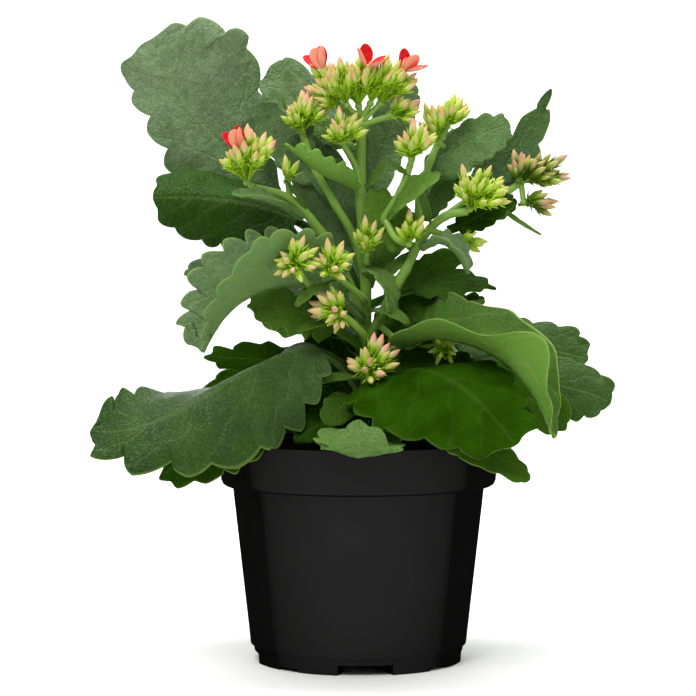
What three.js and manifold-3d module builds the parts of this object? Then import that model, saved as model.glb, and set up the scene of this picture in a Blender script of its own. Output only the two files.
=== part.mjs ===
// A flowering kalanchoe in a 12 cm plastic nursery pot.
// Millimetres, +Z up, origin on the pot's axis where it stands; -Y is the front and +X the right.
import * as THREE from "three";
import { ParametricGeometry } from "three/addons/geometries/ParametricGeometry.js";
import { mergeVertices } from "three/addons/utils/BufferGeometryUtils.js";
import Module from "manifold-3d";

const wasm = await Module();
wasm.setup();

// Driving dimensions
const POT_HEIGHT = 94;
const RIM_RADIUS = 60;
const COLLAR_HEIGHT = 19;
const BODY_TOP_RADIUS = 54.1;
const BODY_FOOT_RADIUS = 46.4;
const FOOT_HEIGHT = 7.3;
const FOOT_RADIUS = 44.5;
const FOOT_RING_WIDTH = 10;
const FLOOR_UNDERSIDE = 4.6;
const WALL = 1.3;
const POT_SIDES = 40;
const NOTCH_COUNT = 8;
const FIRST_NOTCH_ANGLE = 3.5;
const LARGE_NOTCH = { outside: 26.5, inside: 17, height: 4.3 };
const SMALL_NOTCH = { outside: 11, inside: 9, height: 1.5 };
const SOIL_TOP = 85;
const SOIL_DOME = 2;
const GAP = 0.3;

const BLADE_THICKNESS = 1.6;
const MARGIN_THICKNESS = 0.9;
const PETIOLE_HALF_WIDTH = 2.1;
const PETIOLE_THICKNESS = 3.2;
const PETIOLE_STEPS = 2;
const BLADE_STEPS = 8;
const MIDRIB_END = 0.94;
const BLUNTNESS = 0.8;
const WIDEST = 0.88;
const FOLD_CHANGE = [0.25, 0.85];
const BLADE_ONSET = 0.25;

const STEM_SIDES = 7;
const STALK_SIDES = 5;
const STALK_RADIUS = [1.5, 1.3];
const CROWN_STALK_RADIUS = [1.3, 1.2];
const KNOT_RADIUS = 2.3;
const BUD_RADIUS = 1.6;
const BUD_LENGTH = 8;
const BUD_BELLY = 0.4;
const BUD_VARIATION = 0.2;
const GOLDEN_RATIO = 0.618;
const GOLDEN_ANGLE = THREE.MathUtils.degToRad(137.5);

const BLACK_PLASTIC = { color: 0x1c1c1c, roughness: 0.5, metalness: 0 };
const PEAT = { color: 0x2e2118, roughness: 1, metalness: 0 };
const STEM_GREEN = { color: 0x6f9a55, roughness: 0.5, metalness: 0 };
const LEAF_GREEN = { color: 0x3f6630, roughness: 0.45, metalness: 0 };
const BUD_CREAM = { color: 0xc8c078, roughness: 0.5, metalness: 0 };

// The stem and the flower branches: centre line, radius at each end, and the stem each one grows from.
const STEMS = [
  { name: "main_stem", radius: [2.8, 2.2],
    route: [[1, 0, 77], [2, 0, 98], [3, 0, 137], [3, 0, 167], [1, -1, 197], [1, -2, 228]] },
  { name: "branch_left", radius: [2.2, 1.8],
    route: [[2, 0, 141], [-3, 0, 159], [-16, -7, 183], [-29, -11, 197], [-45, -16, 202]] },
  { name: "branch_left_inner", radius: [1.9, 1.5],
    route: [[2, 0, 167], [-2, -3, 181], [-10, -6, 195], [-18, -7, 209], [-23, -6, 223]] },
  { name: "branch_right", radius: [2.2, 1.7],
    route: [[3, 0, 135], [13, -6, 154], [20, -8, 167], [28, -8, 182], [37, -10, 190], [46, -12, 192]] },
  { name: "branch_right_inner", radius: [1.9, 1.5],
    route: [[3, 0, 171], [11, -7, 189], [18, -10, 201], [22, -12, 212]] },
  { name: "branch_right_upper", radius: [1.8, 1.5],
    route: [[26, -8, 179], [26, -2, 197], [31, 4, 214], [37, 8, 227]] },
  { name: "branch_far_right", radius: [1.7, 1.4],
    route: [[37, -10, 190], [48, -3, 197], [61, 2, 199], [69, 5, 204]] },
];

// Flower heads: a stalk from its stem, then crowns of buds that fan out from one point each.
const HEADS = [
  { name: "head_left", stalk: [[-44, -16, 202], [-47, -17, 204]], crowns: [
    { at: [-47, -17, 204], up: [-0.1, -0.15, 1], reach: 24, spread: 42, count: 15 }] },
  { name: "head_left_small", stalk: [[-29, -11, 197], [-30, -12, 205]], crowns: [
    { at: [-30, -12, 205], up: [0, -0.1, 1], reach: 11, spread: 32, count: 3 }] },
  { name: "head_left_upper", stalk: [[-23, -6, 222], [-24, -6, 226]], crowns: [
    { at: [-24, -6, 226], up: [-0.15, -0.1, 1], reach: 18, spread: 50, count: 12 }] },
  { name: "head_centre", stalk: [[1, -2, 199], [-1, -5, 210], [-7, -12, 221]], crowns: [
    { at: [-7, -12, 221], up: [0, -0.2, 1], reach: 15, spread: 55, count: 10 }] },
  { name: "head_top", stalk: [[1, -2, 226], [1, -2, 233]], crowns: [
    { at: [-9, -3, 238], up: [-0.5, -0.15, 0.9], reach: 20, spread: 38, count: 10, from: [1, -2, 230] },
    { at: [0, -3, 237], up: [-0.05, -0.15, 1], reach: 23, spread: 32, count: 11 },
    { at: [9, -2, 238], up: [0.4, -0.1, 0.95], reach: 22, spread: 34, count: 10, from: [1, -2, 230] },
    { at: [14, 0, 233], up: [0.9, -0.1, 0.6], reach: 14, spread: 36, count: 6, from: [1, -2, 229] }] },
  { name: "head_right_inner", stalk: [[21.6, -12, 211], [22.5, -12, 214]], crowns: [
    { at: [22.5, -12, 214], up: [0, -0.15, 1], reach: 17, spread: 46, count: 11 }] },
  { name: "head_right_upper", stalk: [[37, 8, 226], [38, 8, 229]], crowns: [
    { at: [38, 8, 229], up: [0.15, -0.1, 1], reach: 15, spread: 46, count: 9 }] },
  { name: "head_right", stalk: [[45, -12, 192], [47, -12.5, 193]], crowns: [
    { at: [47, -12.5, 193], up: [0.5, -0.2, 0.9], reach: 20, spread: 50, count: 14 }] },
  { name: "head_far_right", stalk: [[68, 4.7, 203.5], [70, 5, 205]], crowns: [
    { at: [70, 5, 205], up: [0.8, -0.1, 0.6], reach: 18, spread: 36, count: 11 },
    { at: [71, 3, 196], up: [1, -0.1, 0.05], reach: 15, spread: 30, count: 6, from: [70, 5, 205] }] },
  { name: "head_right_small", stalk: [[30, -9, 184], [37, -7, 182], [42, -6, 180]], crowns: [
    { at: [42, -6, 180], up: [1, -0.1, 0.1], reach: 13, spread: 32, count: 5 }] },
  { name: "head_middle_right", stalk: [[11, -7, 189], [16, -13, 180], [21, -17, 178]], crowns: [
    { at: [21, -17, 178], up: [0, -0.2, 1], reach: 15, spread: 38, count: 7 }] },
  { name: "head_middle", stalk: [[3, 0, 168], [3, -8, 171], [3, -11, 174]], crowns: [
    { at: [3, -11, 174], up: [0, -0.2, 1], reach: 16, spread: 46, count: 9 }] },
  { name: "head_front_left", stalk: [[3, 0, 141], [-5, -15, 147], [-18, -23, 158], [-27, -36, 169]], crowns: [
    { at: [-27, -36, 169], up: [0, -0.8, 0.5], reach: 14, spread: 75, count: 13 }] },
  { name: "head_front_centre", stalk: [[3, 0, 153], [0, -18, 157], [-12, -31, 167]], crowns: [
    { at: [-12, -31, 167], up: [0, -0.6, 0.7], reach: 14, spread: 62, count: 11 }] },
  { name: "head_front_lower", stalk: [[3, 0, 133], [3, -18, 139], [-7, -31, 149]], crowns: [
    { at: [-7, -31, 149], up: [-0.7, -0.6, 0.1], reach: 15, spread: 62, count: 12 }] },
  { name: "head_front_low", stalk: [[3, 0, 120], [4, -16, 120], [4, -28, 124]], crowns: [
    { at: [4, -28, 124], up: [0, -0.4, 0.9], reach: 18, spread: 62, count: 15 }] },
  { name: "head_right_low", stalk: [[8, -2, 144], [22, -10, 134], [36, -17, 136]], crowns: [
    { at: [36, -17, 136], up: [0, -0.2, 1], reach: 9, spread: 70, count: 6 }] },
];

// Leaves: midrib from the stem to the tip, the way the upper face looks at the base and at the tip,
// the blade's half width, the petiole's share of the midrib, the fold and the curl of each side in degrees.
// A blade may also have its own folds and flares at the tip, place of greatest width and bluntness.
// The first fold and curl are of the side on the left of the midrib, seen from above with the tip ahead.
const LEAVES = [
  { name: "leaf_giant_upper_left",
    route: [[2, 2, 143], [-25, 16, 183], [-54, 27, 211], [-95, 20, 261]],
    face: [[0.3, -1, 0.4], [0.1, -1, 0.3]],
    half: 31, petiole: 0.47, fold: [8, 8], curl: [-14, -10], widest: 1.2, bluntness: 0.5,
    flare: [[1, 0.85], [0.75, 1.5]] },
  { name: "leaf_left_ridged",
    route: [[1.5, 1, 158], [-15, 11, 194], [-51, 3, 200], [-88, -3, 198]],
    face: [[0, -0.3, 1], [-0.1, -1, 0.2]],
    half: 21, petiole: 0.4, fold: [-20, -20], curl: [-15, -15], bluntness: 0.6 },
  { name: "leaf_left_trough",
    route: [[2, -2, 146], [-14, -8, 168], [-50, -35, 168], [-65, -36, 133]],
    face: [[0, -0.2, 1], [-0.7, -0.7, 0.3]],
    half: 28, petiole: 0.22, fold: [72, 48], curl: [0, -10], widest: 0.75, bluntness: 0.65 },
  { name: "leaf_left_behind",
    route: [[1.5, 2, 136], [-22, 16, 152], [-50, 20, 176], [-76, 14, 165]],
    face: [[0, -0.6, 1], [0, -0.7, 1]],
    half: 11, petiole: 0.35, fold: [10, 10], curl: [0, 0] },
  { name: "leaf_left_middle",
    route: [[1.5, -1.5, 134], [-16, -10, 148], [-31, -16, 152], [-47, -20, 152]],
    face: [[0, -0.8, 1], [0, -0.8, 1]],
    half: 14, petiole: 0.25, fold: [-6, 10], curl: [-20, 0] },
  { name: "leaf_left_back_low",
    route: [[1.5, 1, 122], [-21, 0, 128], [-42, -4, 128], [-66, -8, 130]],
    face: [[0, -0.7, 1], [0, -0.7, 1]],
    half: 12, petiole: 0.3, fold: [5, 10], curl: [0, 0] },
  { name: "leaf_large_lower_left",
    route: [[1, -2, 113], [-22, -26, 168], [-64, -60, 94], [-110, -46, 101]],
    face: [[0, -0.5, 1], [-0.2, -0.9, 1]],
    half: 34, petiole: 0.23, fold: [-32, -62], foldTip: [2, 10], curl: [-18, -6], widest: 0.72,
    flare: [[0.95, 0.85], [1, 1.3]] },
  { name: "leaf_under_lower_left",
    route: [[1, -2, 103], [-25, -24, 114], [-52, -42, 106], [-82, -44, 81]],
    face: [[0, -0.4, 1], [0, -0.9, 0.8]],
    half: 14, petiole: 0.48, fold: [0, 0], curl: [-10, 0] },
  { name: "leaf_front_curled",
    route: [[2, -2, 99], [0, -36, 116], [-1, -92, 72], [0, -66, 107]],
    face: [[0, 0, 1], [0, 1, 0.2]],
    half: 19, petiole: 0.3, fold: [2, 14], curl: [10, 10] },
  { name: "leaf_front_small",
    route: [[2.5, -2, 108.5], [1, -22, 117], [-6, -36, 114], [-13, -46, 103]],
    face: [[0, -0.5, 1], [0, -1, 0.6]],
    half: 8, petiole: 0.3, fold: [8, 8], curl: [0, 0] },
  { name: "leaf_large_front_right",
    route: [[3.5, -2, 112], [17, -24, 133], [40, -57, 130], [58, -72, 92]],
    face: [[0, -0.2, 1], [0.1, -1, 0.3]],
    half: 36, petiole: 0.2, fold: [-12, 2], curl: [-14, -6], flare: [[0.9, 1.2], [1, 0.9]] },
  { name: "leaf_under_front_right",
    route: [[4, -1.5, 105], [20, -26, 110], [44, -56, 100], [69, -58, 82]],
    face: [[0, -0.3, 1], [0, -0.8, 0.8]],
    half: 13, petiole: 0.4, fold: [0, 0], curl: [0, 0] },
  { name: "leaf_right_trough",
    route: [[4.5, -1, 127], [28, -20, 148], [66, -44, 142], [80, -46, 98]],
    face: [[0, -0.1, 1], [1, -0.3, 0.3]],
    half: 22, petiole: 0.18, fold: [58, 8], foldTip: [18, 66], curl: [0, 10],
    flare: [[1, 0.9], [1, 0.8]] },
  { name: "leaf_right_upper",
    route: [[4.5, 1.5, 137], [31, 18, 142], [70, 27, 136], [101, 20, 128]],
    face: [[0, -0.6, 1], [0.2, -1, 0.6]],
    half: 18, petiole: 0.4, fold: [4, 4], curl: [-10, -10], bluntness: 0.6 },
  { name: "leaf_right_tip",
    route: [[4.5, 1.5, 118], [35, 6, 121], [84, 0, 124], [108, -4, 110]],
    face: [[0, -0.6, 1], [0.2, -1, 0.3]],
    half: 16, petiole: 0.4, fold: [0, 0], curl: [-10, -10], bluntness: 0.65 },
  { name: "leaf_right_lower",
    route: [[4.5, 0, 108], [35, -4, 126], [68, -10, 124], [88, -12, 99]],
    face: [[0, -0.6, 1], [0.3, -1, 0.3]],
    half: 15, petiole: 0.35, fold: [0, 0], curl: [-10, -10] },
  { name: "leaf_right_inner",
    route: [[3.5, 2, 110], [18, 12, 124], [36, 14, 124], [62, 8, 119]],
    face: [[0, -0.7, 1], [0, -0.8, 1]],
    half: 14, petiole: 0.25, fold: [5, 5], curl: [0, 0] },
  { name: "leaf_rolled",
    route: [[27, -8, 177], [33, -19, 182], [41, -20, 179], [46, -17, 165]],
    face: [[0, -0.4, 1], [0.3, -0.4, 1]],
    half: 8, petiole: 0.25, fold: [20, 20], curl: [50, 50], bluntness: 0.6 },
  { name: "leaf_right_middle",
    route: [[4.5, 1, 152], [22, 6, 160], [40, 2, 165], [59, -4, 159]],
    face: [[0, -0.6, 1], [0, -0.8, 1]],
    half: 10, petiole: 0.35, fold: [0, 0], curl: [0, 0] },
  { name: "leaf_upper_right",
    route: [[28, 0, 200], [34, 8, 214], [48, 12, 226], [66, 12, 230]],
    face: [[-0.3, -1, 0.6], [-0.2, -1, 0.5]],
    half: 10, petiole: 0.2, fold: [8, 8], curl: [0, 0], bluntness: 0.55 },
  { name: "leaf_upper_far_right",
    route: [[60, 3, 199], [57, 14, 206], [68, 24, 214], [85, 26, 247]],
    face: [[-0.4, -1, 0.6], [-0.9, -0.5, 0.4]],
    half: 12, petiole: 0.12, fold: [15, 15], curl: [10, 10], widest: 0.55 },
  { name: "leaf_right_dark",
    route: [[44, -6, 194], [50, 0, 188], [60, 6, 189], [68, 10, 198]],
    face: [[0, -0.7, 1], [0, -0.7, 1]],
    half: 6, petiole: 0.2, fold: [6, 6], curl: [0, 0] },
  { name: "leaf_top_right",
    route: [[2.5, 2, 180], [4, 16, 205], [11, 21, 226], [25, 18, 248]],
    face: [[-0.4, -1, 0.4], [-0.4, -1, 0.3]],
    half: 12, petiole: 0.25, fold: [14, 14], curl: [0, 0] },
  { name: "leaf_top_left",
    route: [[1, 0, 212], [-2, 18, 222], [-14, 29, 234], [-39, 28, 257]],
    face: [[0.2, -1, 0.4], [0.1, -1, 0.3]],
    half: 12.5, petiole: 0.3, fold: [6, 6], curl: [0, 0] },
  { name: "leaf_behind_left_branches",
    route: [[1.5, 1.5, 160], [-4, 10, 182], [-10, 9, 204], [-30, 5, 225]],
    face: [[0.3, -1, 0.4], [0.2, -1, 0.3]],
    half: 15, petiole: 0.2, fold: [4, 4], curl: [0, 0] },
  { name: "bract_right",
    route: [[13, -8, 190], [18, -16, 196], [26, -20, 202], [34, -18, 208]],
    face: [[-0.4, -0.6, 0.7], [-0.4, -0.6, 0.7]],
    half: 6, petiole: 0.15, fold: [15, 15], curl: [10, 10] },
  { name: "bract_left",
    route: [[0, -2, 203], [-6, -14, 204], [-16, -22, 207], [-31, -24, 220]],
    face: [[0, 0.2, 1], [-0.3, 0, 1]],
    half: 8, petiole: 0.15, fold: [50, 20], curl: [20, 10] },
  { name: "leaf_inner_right",
    route: [[4.5, 1, 160], [8, 5, 172], [14, 7, 182], [21, 6, 190]],
    face: [[-0.3, -1, 0.5], [-0.3, -1, 0.5]],
    half: 8, petiole: 0.2, fold: [5, 5], curl: [0, 0] },
  { name: "bract_strap",
    route: [[4, -2, 164], [9, -9, 169], [14, -13, 160], [17, -13, 146]],
    face: [[0.5, -0.3, 1], [1, -0.4, 0.3]],
    half: 3, petiole: 0.1, fold: [10, 10], curl: [0, 0] },
  { name: "bract_head_left",
    route: [[-24, -9, 190], [-34, -21, 197], [-44, -26, 198], [-53, -25, 199]],
    face: [[0, -0.4, 1], [0, -0.4, 1]],
    half: 6, petiole: 0.15, fold: [20, 20], curl: [10, 10] },
  { name: "leaf_back_left",
    route: [[1.5, 2, 116], [-20, 32, 132], [-50, 57, 118], [-76, 57, 100]],
    face: [[0, 0.2, 1], [-0.3, 0.3, 1]],
    half: 25, petiole: 0.3, fold: [10, 10], curl: [-10, -10] },
  { name: "leaf_back_centre_left",
    route: [[2, 2, 130], [-12, 36, 168], [-24, 60, 170], [-34, 70, 136]],
    face: [[0, 0, 1], [-0.2, 1, 0.3]],
    half: 24, petiole: 0.3, fold: [10, 10], curl: [-10, -10] },
  { name: "leaf_back_centre_right",
    route: [[3, 2, 125], [12, 40, 150], [24, 64, 146], [32, 70, 112]],
    face: [[0, 0, 1], [0.2, 1, 0.3]],
    half: 25, petiole: 0.3, fold: [10, 10], curl: [-10, -10] },
  { name: "leaf_back_right",
    route: [[4, 1.5, 116], [30, 38, 142], [60, 56, 138], [80, 56, 108]],
    face: [[0, 0.4, 1], [0.5, 0.8, 0.5]],
    half: 23, petiole: 0.3, fold: [10, 10], curl: [-10, -10] },
];

const vector = (p) => new THREE.Vector3(...p);
const radians = (degrees) => THREE.MathUtils.degToRad(degrees);

// A closed geometry as a solid, with its shared vertices merged and its faces turned outward.
function solidOf(geometry) {
  geometry.deleteAttribute("normal");
  geometry.deleteAttribute("uv");
  const merged = mergeVertices(geometry, 1e-3);
  const index = merged.index.array;
  const triangles = [];
  for (let i = 0; i < index.length; i += 3) {
    const [a, b, c] = index.slice(i, i + 3);
    if (a !== b && b !== c && c !== a) triangles.push(a, b, c);
  }
  const build = (triVerts) => new wasm.Manifold(new wasm.Mesh({
    numProp: 3,
    vertProperties: merged.attributes.position.array,
    triVerts: new Uint32Array(triVerts),
  }));
  const made = build(triangles);
  if (made.volume() > 0) return made;
  return build(triangles.reverse());
}

const union = (solids) => solids.reduce((whole, piece) => whole.add(piece));

// The part of a cut solid that stays: its largest body.
function largestBody(solid) {
  const bodies = solid.decompose();
  return bodies.reduce((best, body) => (body.volume() > best.volume() ? body : best));
}

// A round tube along a centre line, thinner towards its end, with flat ends. The gap grows it all over.
function taperedTube(route, [startRadius, endRadius], sides, steps, gap) {
  const curve = new THREE.CatmullRomCurve3(route.map(vector));
  const frames = curve.computeFrenetFrames(steps);
  return solidOf(new ParametricGeometry((around, along, target) => {
    const ring = Math.round(along * (steps + 2)) - 1;
    const station = THREE.MathUtils.clamp(ring, 0, steps);
    const closed = ring < 0 || ring > steps;
    const radius = closed ? 0 : THREE.MathUtils.lerp(startRadius, endRadius, station / steps) + gap;
    const angle = around * 2 * Math.PI;
    target.copy(curve.getPoint(station / steps));
    if (station === 0) target.addScaledVector(frames.tangents[0], -gap);
    if (station === steps) target.addScaledVector(frames.tangents[steps], gap);
    target.addScaledVector(frames.normals[station], radius * Math.cos(angle));
    target.addScaledVector(frames.binormals[station], radius * Math.sin(angle));
  }, sides, steps + 2));
}

// A point of the leaf's skin. along runs from the petiole's foot (0) over the blade's base (1) to the
// tip (2); across runs from one margin (-1) to the other (1); above is 1 on the upper skin and -1 on
// the lower. The gap grows the leaf.
function leafPoint(leaf, along, across, above, gap) {
  const blade = Math.max(along - 1, 0);
  const side = Math.sign(across);
  const hand = side < 0 ? 1 : 0;
  const change = THREE.MathUtils.smoothstep(blade, ...FOLD_CHANGE);
  const fold = THREE.MathUtils.lerp(leaf.fold[hand], (leaf.foldTip ?? leaf.fold)[hand], change);
  const curl = leaf.curl[hand];
  const reach = (1 - Math.cos(Math.PI * blade)) / 2;
  const station = reach * THREE.MathUtils.lerp(MIDRIB_END, 1, Math.abs(across));
  const petioleWidth = PETIOLE_HALF_WIDTH * Math.sqrt(1 - blade ** 4);
  const spindle = Math.sin(Math.PI * blade ** (leaf.widest ?? WIDEST)) ** (leaf.bluntness ?? BLUNTNESS);
  const flare = leaf.flare ? THREE.MathUtils.lerp(...leaf.flare[hand], blade) : 1;
  const bladeWidth = leaf.half * flare * spindle;
  const width = Math.hypot(petioleWidth, bladeWidth) + gap;
  const offset = Math.abs(across) * width;
  const t = along < 1 ? along * leaf.petiole : leaf.petiole + (1 - leaf.petiole) * station;
  const curve = new THREE.CubicBezierCurve3(...leaf.route.map(vector));
  const forward = curve.getTangent(t);
  const up = vector(leaf.face[0]).normalize().lerp(vector(leaf.face[1]).normalize(), t);
  up.addScaledVector(forward, -up.dot(forward)).normalize();
  const outward = new THREE.Vector3().crossVectors(up, forward).multiplyScalar(side);
  const start = radians(fold) * Math.min(blade / BLADE_ONSET, 1);
  const bend = radians(curl) / leaf.half;
  const end = start + bend * offset;
  const flat = Math.abs(bend) < 1e-6;
  const out = flat ? offset * Math.cos(start) : (Math.sin(end) - Math.sin(start)) / bend;
  const rise = flat ? offset * Math.sin(start) : (Math.cos(start) - Math.cos(end)) / bend;
  const inside = Math.abs(across) < 1;
  const bladeThickness = THREE.MathUtils.lerp(BLADE_THICKNESS, MARGIN_THICKNESS, Math.abs(across));
  const petioleThickness = PETIOLE_THICKNESS * Math.sqrt(Math.max(1 - across ** 2, 0));
  const share = THREE.MathUtils.smoothstep(blade, 0, BLADE_ONSET);
  const thickness = THREE.MathUtils.lerp(petioleThickness, inside ? bladeThickness : 0, share);
  const thick = above * (thickness / 2 + (inside ? gap : 0));
  const point = curve.getPoint(t);
  point.addScaledVector(outward, out - thick * Math.sin(end));
  return point.addScaledVector(up, rise + thick * Math.cos(end));
}

// An end of the midrib, moved outward by the gap.
function leafEnd(leaf, t, gap) {
  const curve = new THREE.CubicBezierCurve3(...leaf.route.map(vector));
  return curve.getPoint(t).addScaledVector(curve.getTangent(t), t < 1 ? -gap : gap);
}

// One leaf: a closed skin swept from the foot of the petiole to the tip.
function leafSolid(leaf, gap = 0) {
  const section = [[-1, 1], [-0.5, 1], [0, 1], [0.5, 1], [1, 1], [0.5, -1], [0, -1], [-0.5, -1]];
  const stacks = 1 + PETIOLE_STEPS + BLADE_STEPS;
  return solidOf(new ParametricGeometry((around, along, target) => {
    const ring = Math.round(along * stacks) - 1;
    const [across, above] = section[Math.round(around * section.length) % section.length];
    const petioleRing = ring < PETIOLE_STEPS;
    const station = petioleRing ? ring / PETIOLE_STEPS : 1 + (ring - PETIOLE_STEPS) / BLADE_STEPS;
    if (ring < 0) target.copy(leafEnd(leaf, 0, gap));
    else if (ring === stacks - 1) target.copy(leafEnd(leaf, 1, gap));
    else target.copy(leafPoint(leaf, station, across, above, gap));
  }, section.length, stacks));
}

// One bud on its pedicel, from the crown's point outward.
function budSolid(from, direction, length, gap) {
  const neck = Math.max(length - BUD_LENGTH, 1);
  const profile = [
    new THREE.Vector2(0, -gap),
    new THREE.Vector2(BUD_RADIUS + gap, neck + BUD_BELLY * BUD_LENGTH),
    new THREE.Vector2(0, length + gap),
  ];
  const spindle = new THREE.LatheGeometry(profile, 4);
  const turn = new THREE.Quaternion().setFromUnitVectors(new THREE.Vector3(0, 1, 0), direction);
  spindle.applyQuaternion(turn).translate(...from);
  return solidOf(spindle);
}

// The swollen end of a stalk, from which the pedicels part.
function knotSolid(at, gap) {
  return solidOf(new THREE.OctahedronGeometry(KNOT_RADIUS + gap, 0).translate(...at));
}

// The buds of one crown, spread over a cap round its axis like seeds in a seed head.
function crownBuds(crown, gap) {
  const axis = vector(crown.up).normalize();
  const aside = new THREE.Vector3(0, -1, 0.3).cross(axis).normalize();
  return Array.from({ length: crown.count }, (_, i) => {
    const tilt = radians(crown.spread) * Math.sqrt((i + 0.5) / crown.count);
    const direction = axis.clone().applyAxisAngle(aside, tilt).applyAxisAngle(axis, i * GOLDEN_ANGLE);
    const length = crown.reach * (1 - BUD_VARIATION * ((i * GOLDEN_RATIO) % 1));
    return budSolid(crown.at, direction, length, gap);
  });
}

// A flower head: its stalk, the stalks of the side crowns, and all the buds in one piece.
function headSolid(head, gap = 0) {
  const last = head.stalk[head.stalk.length - 1];
  const steps = 2 * (head.stalk.length - 1);
  const stalks = [taperedTube(head.stalk, STALK_RADIUS, STALK_SIDES, steps, gap)];
  const knots = head.crowns.map((crown) => knotSolid(crown.at, gap));
  for (const crown of head.crowns) {
    const route = [crown.from ?? last, crown.at];
    const apart = vector(route[0]).distanceTo(vector(route[1]));
    if (apart > 1) stalks.push(taperedTube(route, CROWN_STALK_RADIUS, STALK_SIDES, 1, gap));
  }
  return union([...stalks, ...knots, ...head.crowns.flatMap((crown) => crownBuds(crown, gap))]);
}

function stemSolid(stem, gap = 0) {
  return taperedTube(stem.route, stem.radius, STEM_SIDES, 2 * (stem.route.length - 1), gap);
}

// A drainage notch through the foot ring, wider outside than inside.
function notchSolid(index) {
  const size = index % 2 === 0 ? LARGE_NOTCH : SMALL_NOTCH;
  const inner = FOOT_RADIUS - FOOT_RING_WIDTH - 1;
  const outer = FOOT_RADIUS + 4;
  const shape = new THREE.Shape([
    new THREE.Vector2(inner, -size.inside / 2),
    new THREE.Vector2(outer, -size.outside / 2),
    new THREE.Vector2(outer, size.outside / 2),
    new THREE.Vector2(inner, size.inside / 2),
  ]);
  const notch = new THREE.ExtrudeGeometry(shape, { depth: size.height + 1, bevelEnabled: false });
  notch.translate(0, 0, -1).rotateZ(radians(FIRST_NOTCH_ANGLE - 90 + (index * 360) / NOTCH_COUNT));
  return solidOf(notch);
}

// The pot: a thin tapered wall with a deep collar, a stepped foot ring and a floor set up inside it.
function potSolid() {
  const bodyTop = POT_HEIGHT - COLLAR_HEIGHT;
  const outline = [
    [0, FLOOR_UNDERSIDE],
    [FOOT_RADIUS - FOOT_RING_WIDTH, FLOOR_UNDERSIDE],
    [FOOT_RADIUS - FOOT_RING_WIDTH, 0],
    [FOOT_RADIUS - 0.8, 0],
    [FOOT_RADIUS, 0.8],
    [FOOT_RADIUS + 0.5, FOOT_HEIGHT - 0.6],
    [BODY_FOOT_RADIUS, FOOT_HEIGHT],
    [BODY_TOP_RADIUS, bodyTop],
    [RIM_RADIUS - 2.6, bodyTop + 0.4],
    [RIM_RADIUS - 0.9, bodyTop + 2.4],
    [RIM_RADIUS, POT_HEIGHT - 0.6],
    [RIM_RADIUS - 0.5, POT_HEIGHT],
    [RIM_RADIUS - WALL, POT_HEIGHT],
    [RIM_RADIUS - WALL - 0.9, bodyTop + 3.4],
    [BODY_TOP_RADIUS - WALL, bodyTop + 1.4],
    [BODY_FOOT_RADIUS - WALL, FOOT_HEIGHT + WALL],
    [BODY_FOOT_RADIUS - WALL - 2, FOOT_HEIGHT],
    [0, FOOT_HEIGHT],
  ];
  const wall = new THREE.LatheGeometry(outline.map((p) => new THREE.Vector2(...p)), POT_SIDES);
  let pot = solidOf(wall.rotateX(Math.PI / 2));
  for (let index = 0; index < NOTCH_COUNT; index += 1) {
    pot = pot.subtract(notchSolid(index));
  }
  return pot;
}

// The potting mix: a plug that fills the pot to a little under its rim, slightly domed.
function soilSolid() {
  const bodyTop = POT_HEIGHT - COLLAR_HEIGHT;
  const inside = (radius) => radius - WALL - GAP;
  const collar = inside(RIM_RADIUS - 0.9);
  const outline = [
    [0, FOOT_HEIGHT + GAP],
    [inside(BODY_FOOT_RADIUS) - 2.2, FOOT_HEIGHT + GAP],
    [inside(BODY_FOOT_RADIUS), FOOT_HEIGHT + WALL + 2 * GAP],
    [inside(BODY_TOP_RADIUS), bodyTop + 1.8],
    [collar, bodyTop + 4.1],
    [collar, SOIL_TOP - SOIL_DOME],
    [collar / 2, SOIL_TOP - SOIL_DOME / 3],
    [0, SOIL_TOP],
  ];
  const plug = new THREE.LatheGeometry(outline.map((p) => new THREE.Vector2(...p)), POT_SIDES);
  return solidOf(plug.rotateX(Math.PI / 2));
}

function meshOf(name, solid, finish) {
  const data = solid.getMesh();
  const geometry = new THREE.BufferGeometry();
  geometry.setAttribute("position", new THREE.BufferAttribute(data.vertProperties, 3));
  geometry.setIndex(new THREE.BufferAttribute(data.triVerts, 1));
  geometry.computeVertexNormals();
  const mesh = new THREE.Mesh(geometry, new THREE.MeshStandardMaterial(finish));
  mesh.name = name;
  return mesh;
}

// Every piece of the plant, in the order in which a later one gives way to an earlier one.
function plantPieces() {
  return [
    ...STEMS.map((stem) => ({ name: stem.name, make: (gap) => stemSolid(stem, gap), finish: STEM_GREEN })),
    ...HEADS.map((head) => ({ name: head.name, make: (gap) => headSolid(head, gap), finish: BUD_CREAM })),
    ...LEAVES.map((leaf) => ({ name: leaf.name, make: (gap) => leafSolid(leaf, gap), finish: LEAF_GREEN })),
  ];
}

function buildPlant() {
  const group = new THREE.Group();
  const pot = potSolid();
  const placed = [];
  for (const piece of plantPieces()) {
    let solid = piece.make(0);
    for (const { grown } of placed) {
      if (solid.intersect(grown).volume() > 0) solid = solid.subtract(grown);
    }
    placed.push({ ...piece, solid: largestBody(solid), grown: piece.make(GAP) });
  }
  const soil = soilSolid().subtract(placed[0].grown);
  group.add(meshOf("pot", pot, BLACK_PLASTIC));
  group.add(meshOf("potting_mix", soil, PEAT));
  for (const piece of placed) {
    group.add(meshOf(piece.name, piece.solid, piece.finish));
  }
  return group;
}

export default buildPlant();
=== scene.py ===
import math
import random

import bmesh
import bpy
from bpy.props import FloatProperty, FloatVectorProperty, IntProperty, PointerProperty
from mathutils import Matrix, Quaternion, Vector, noise


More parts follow.
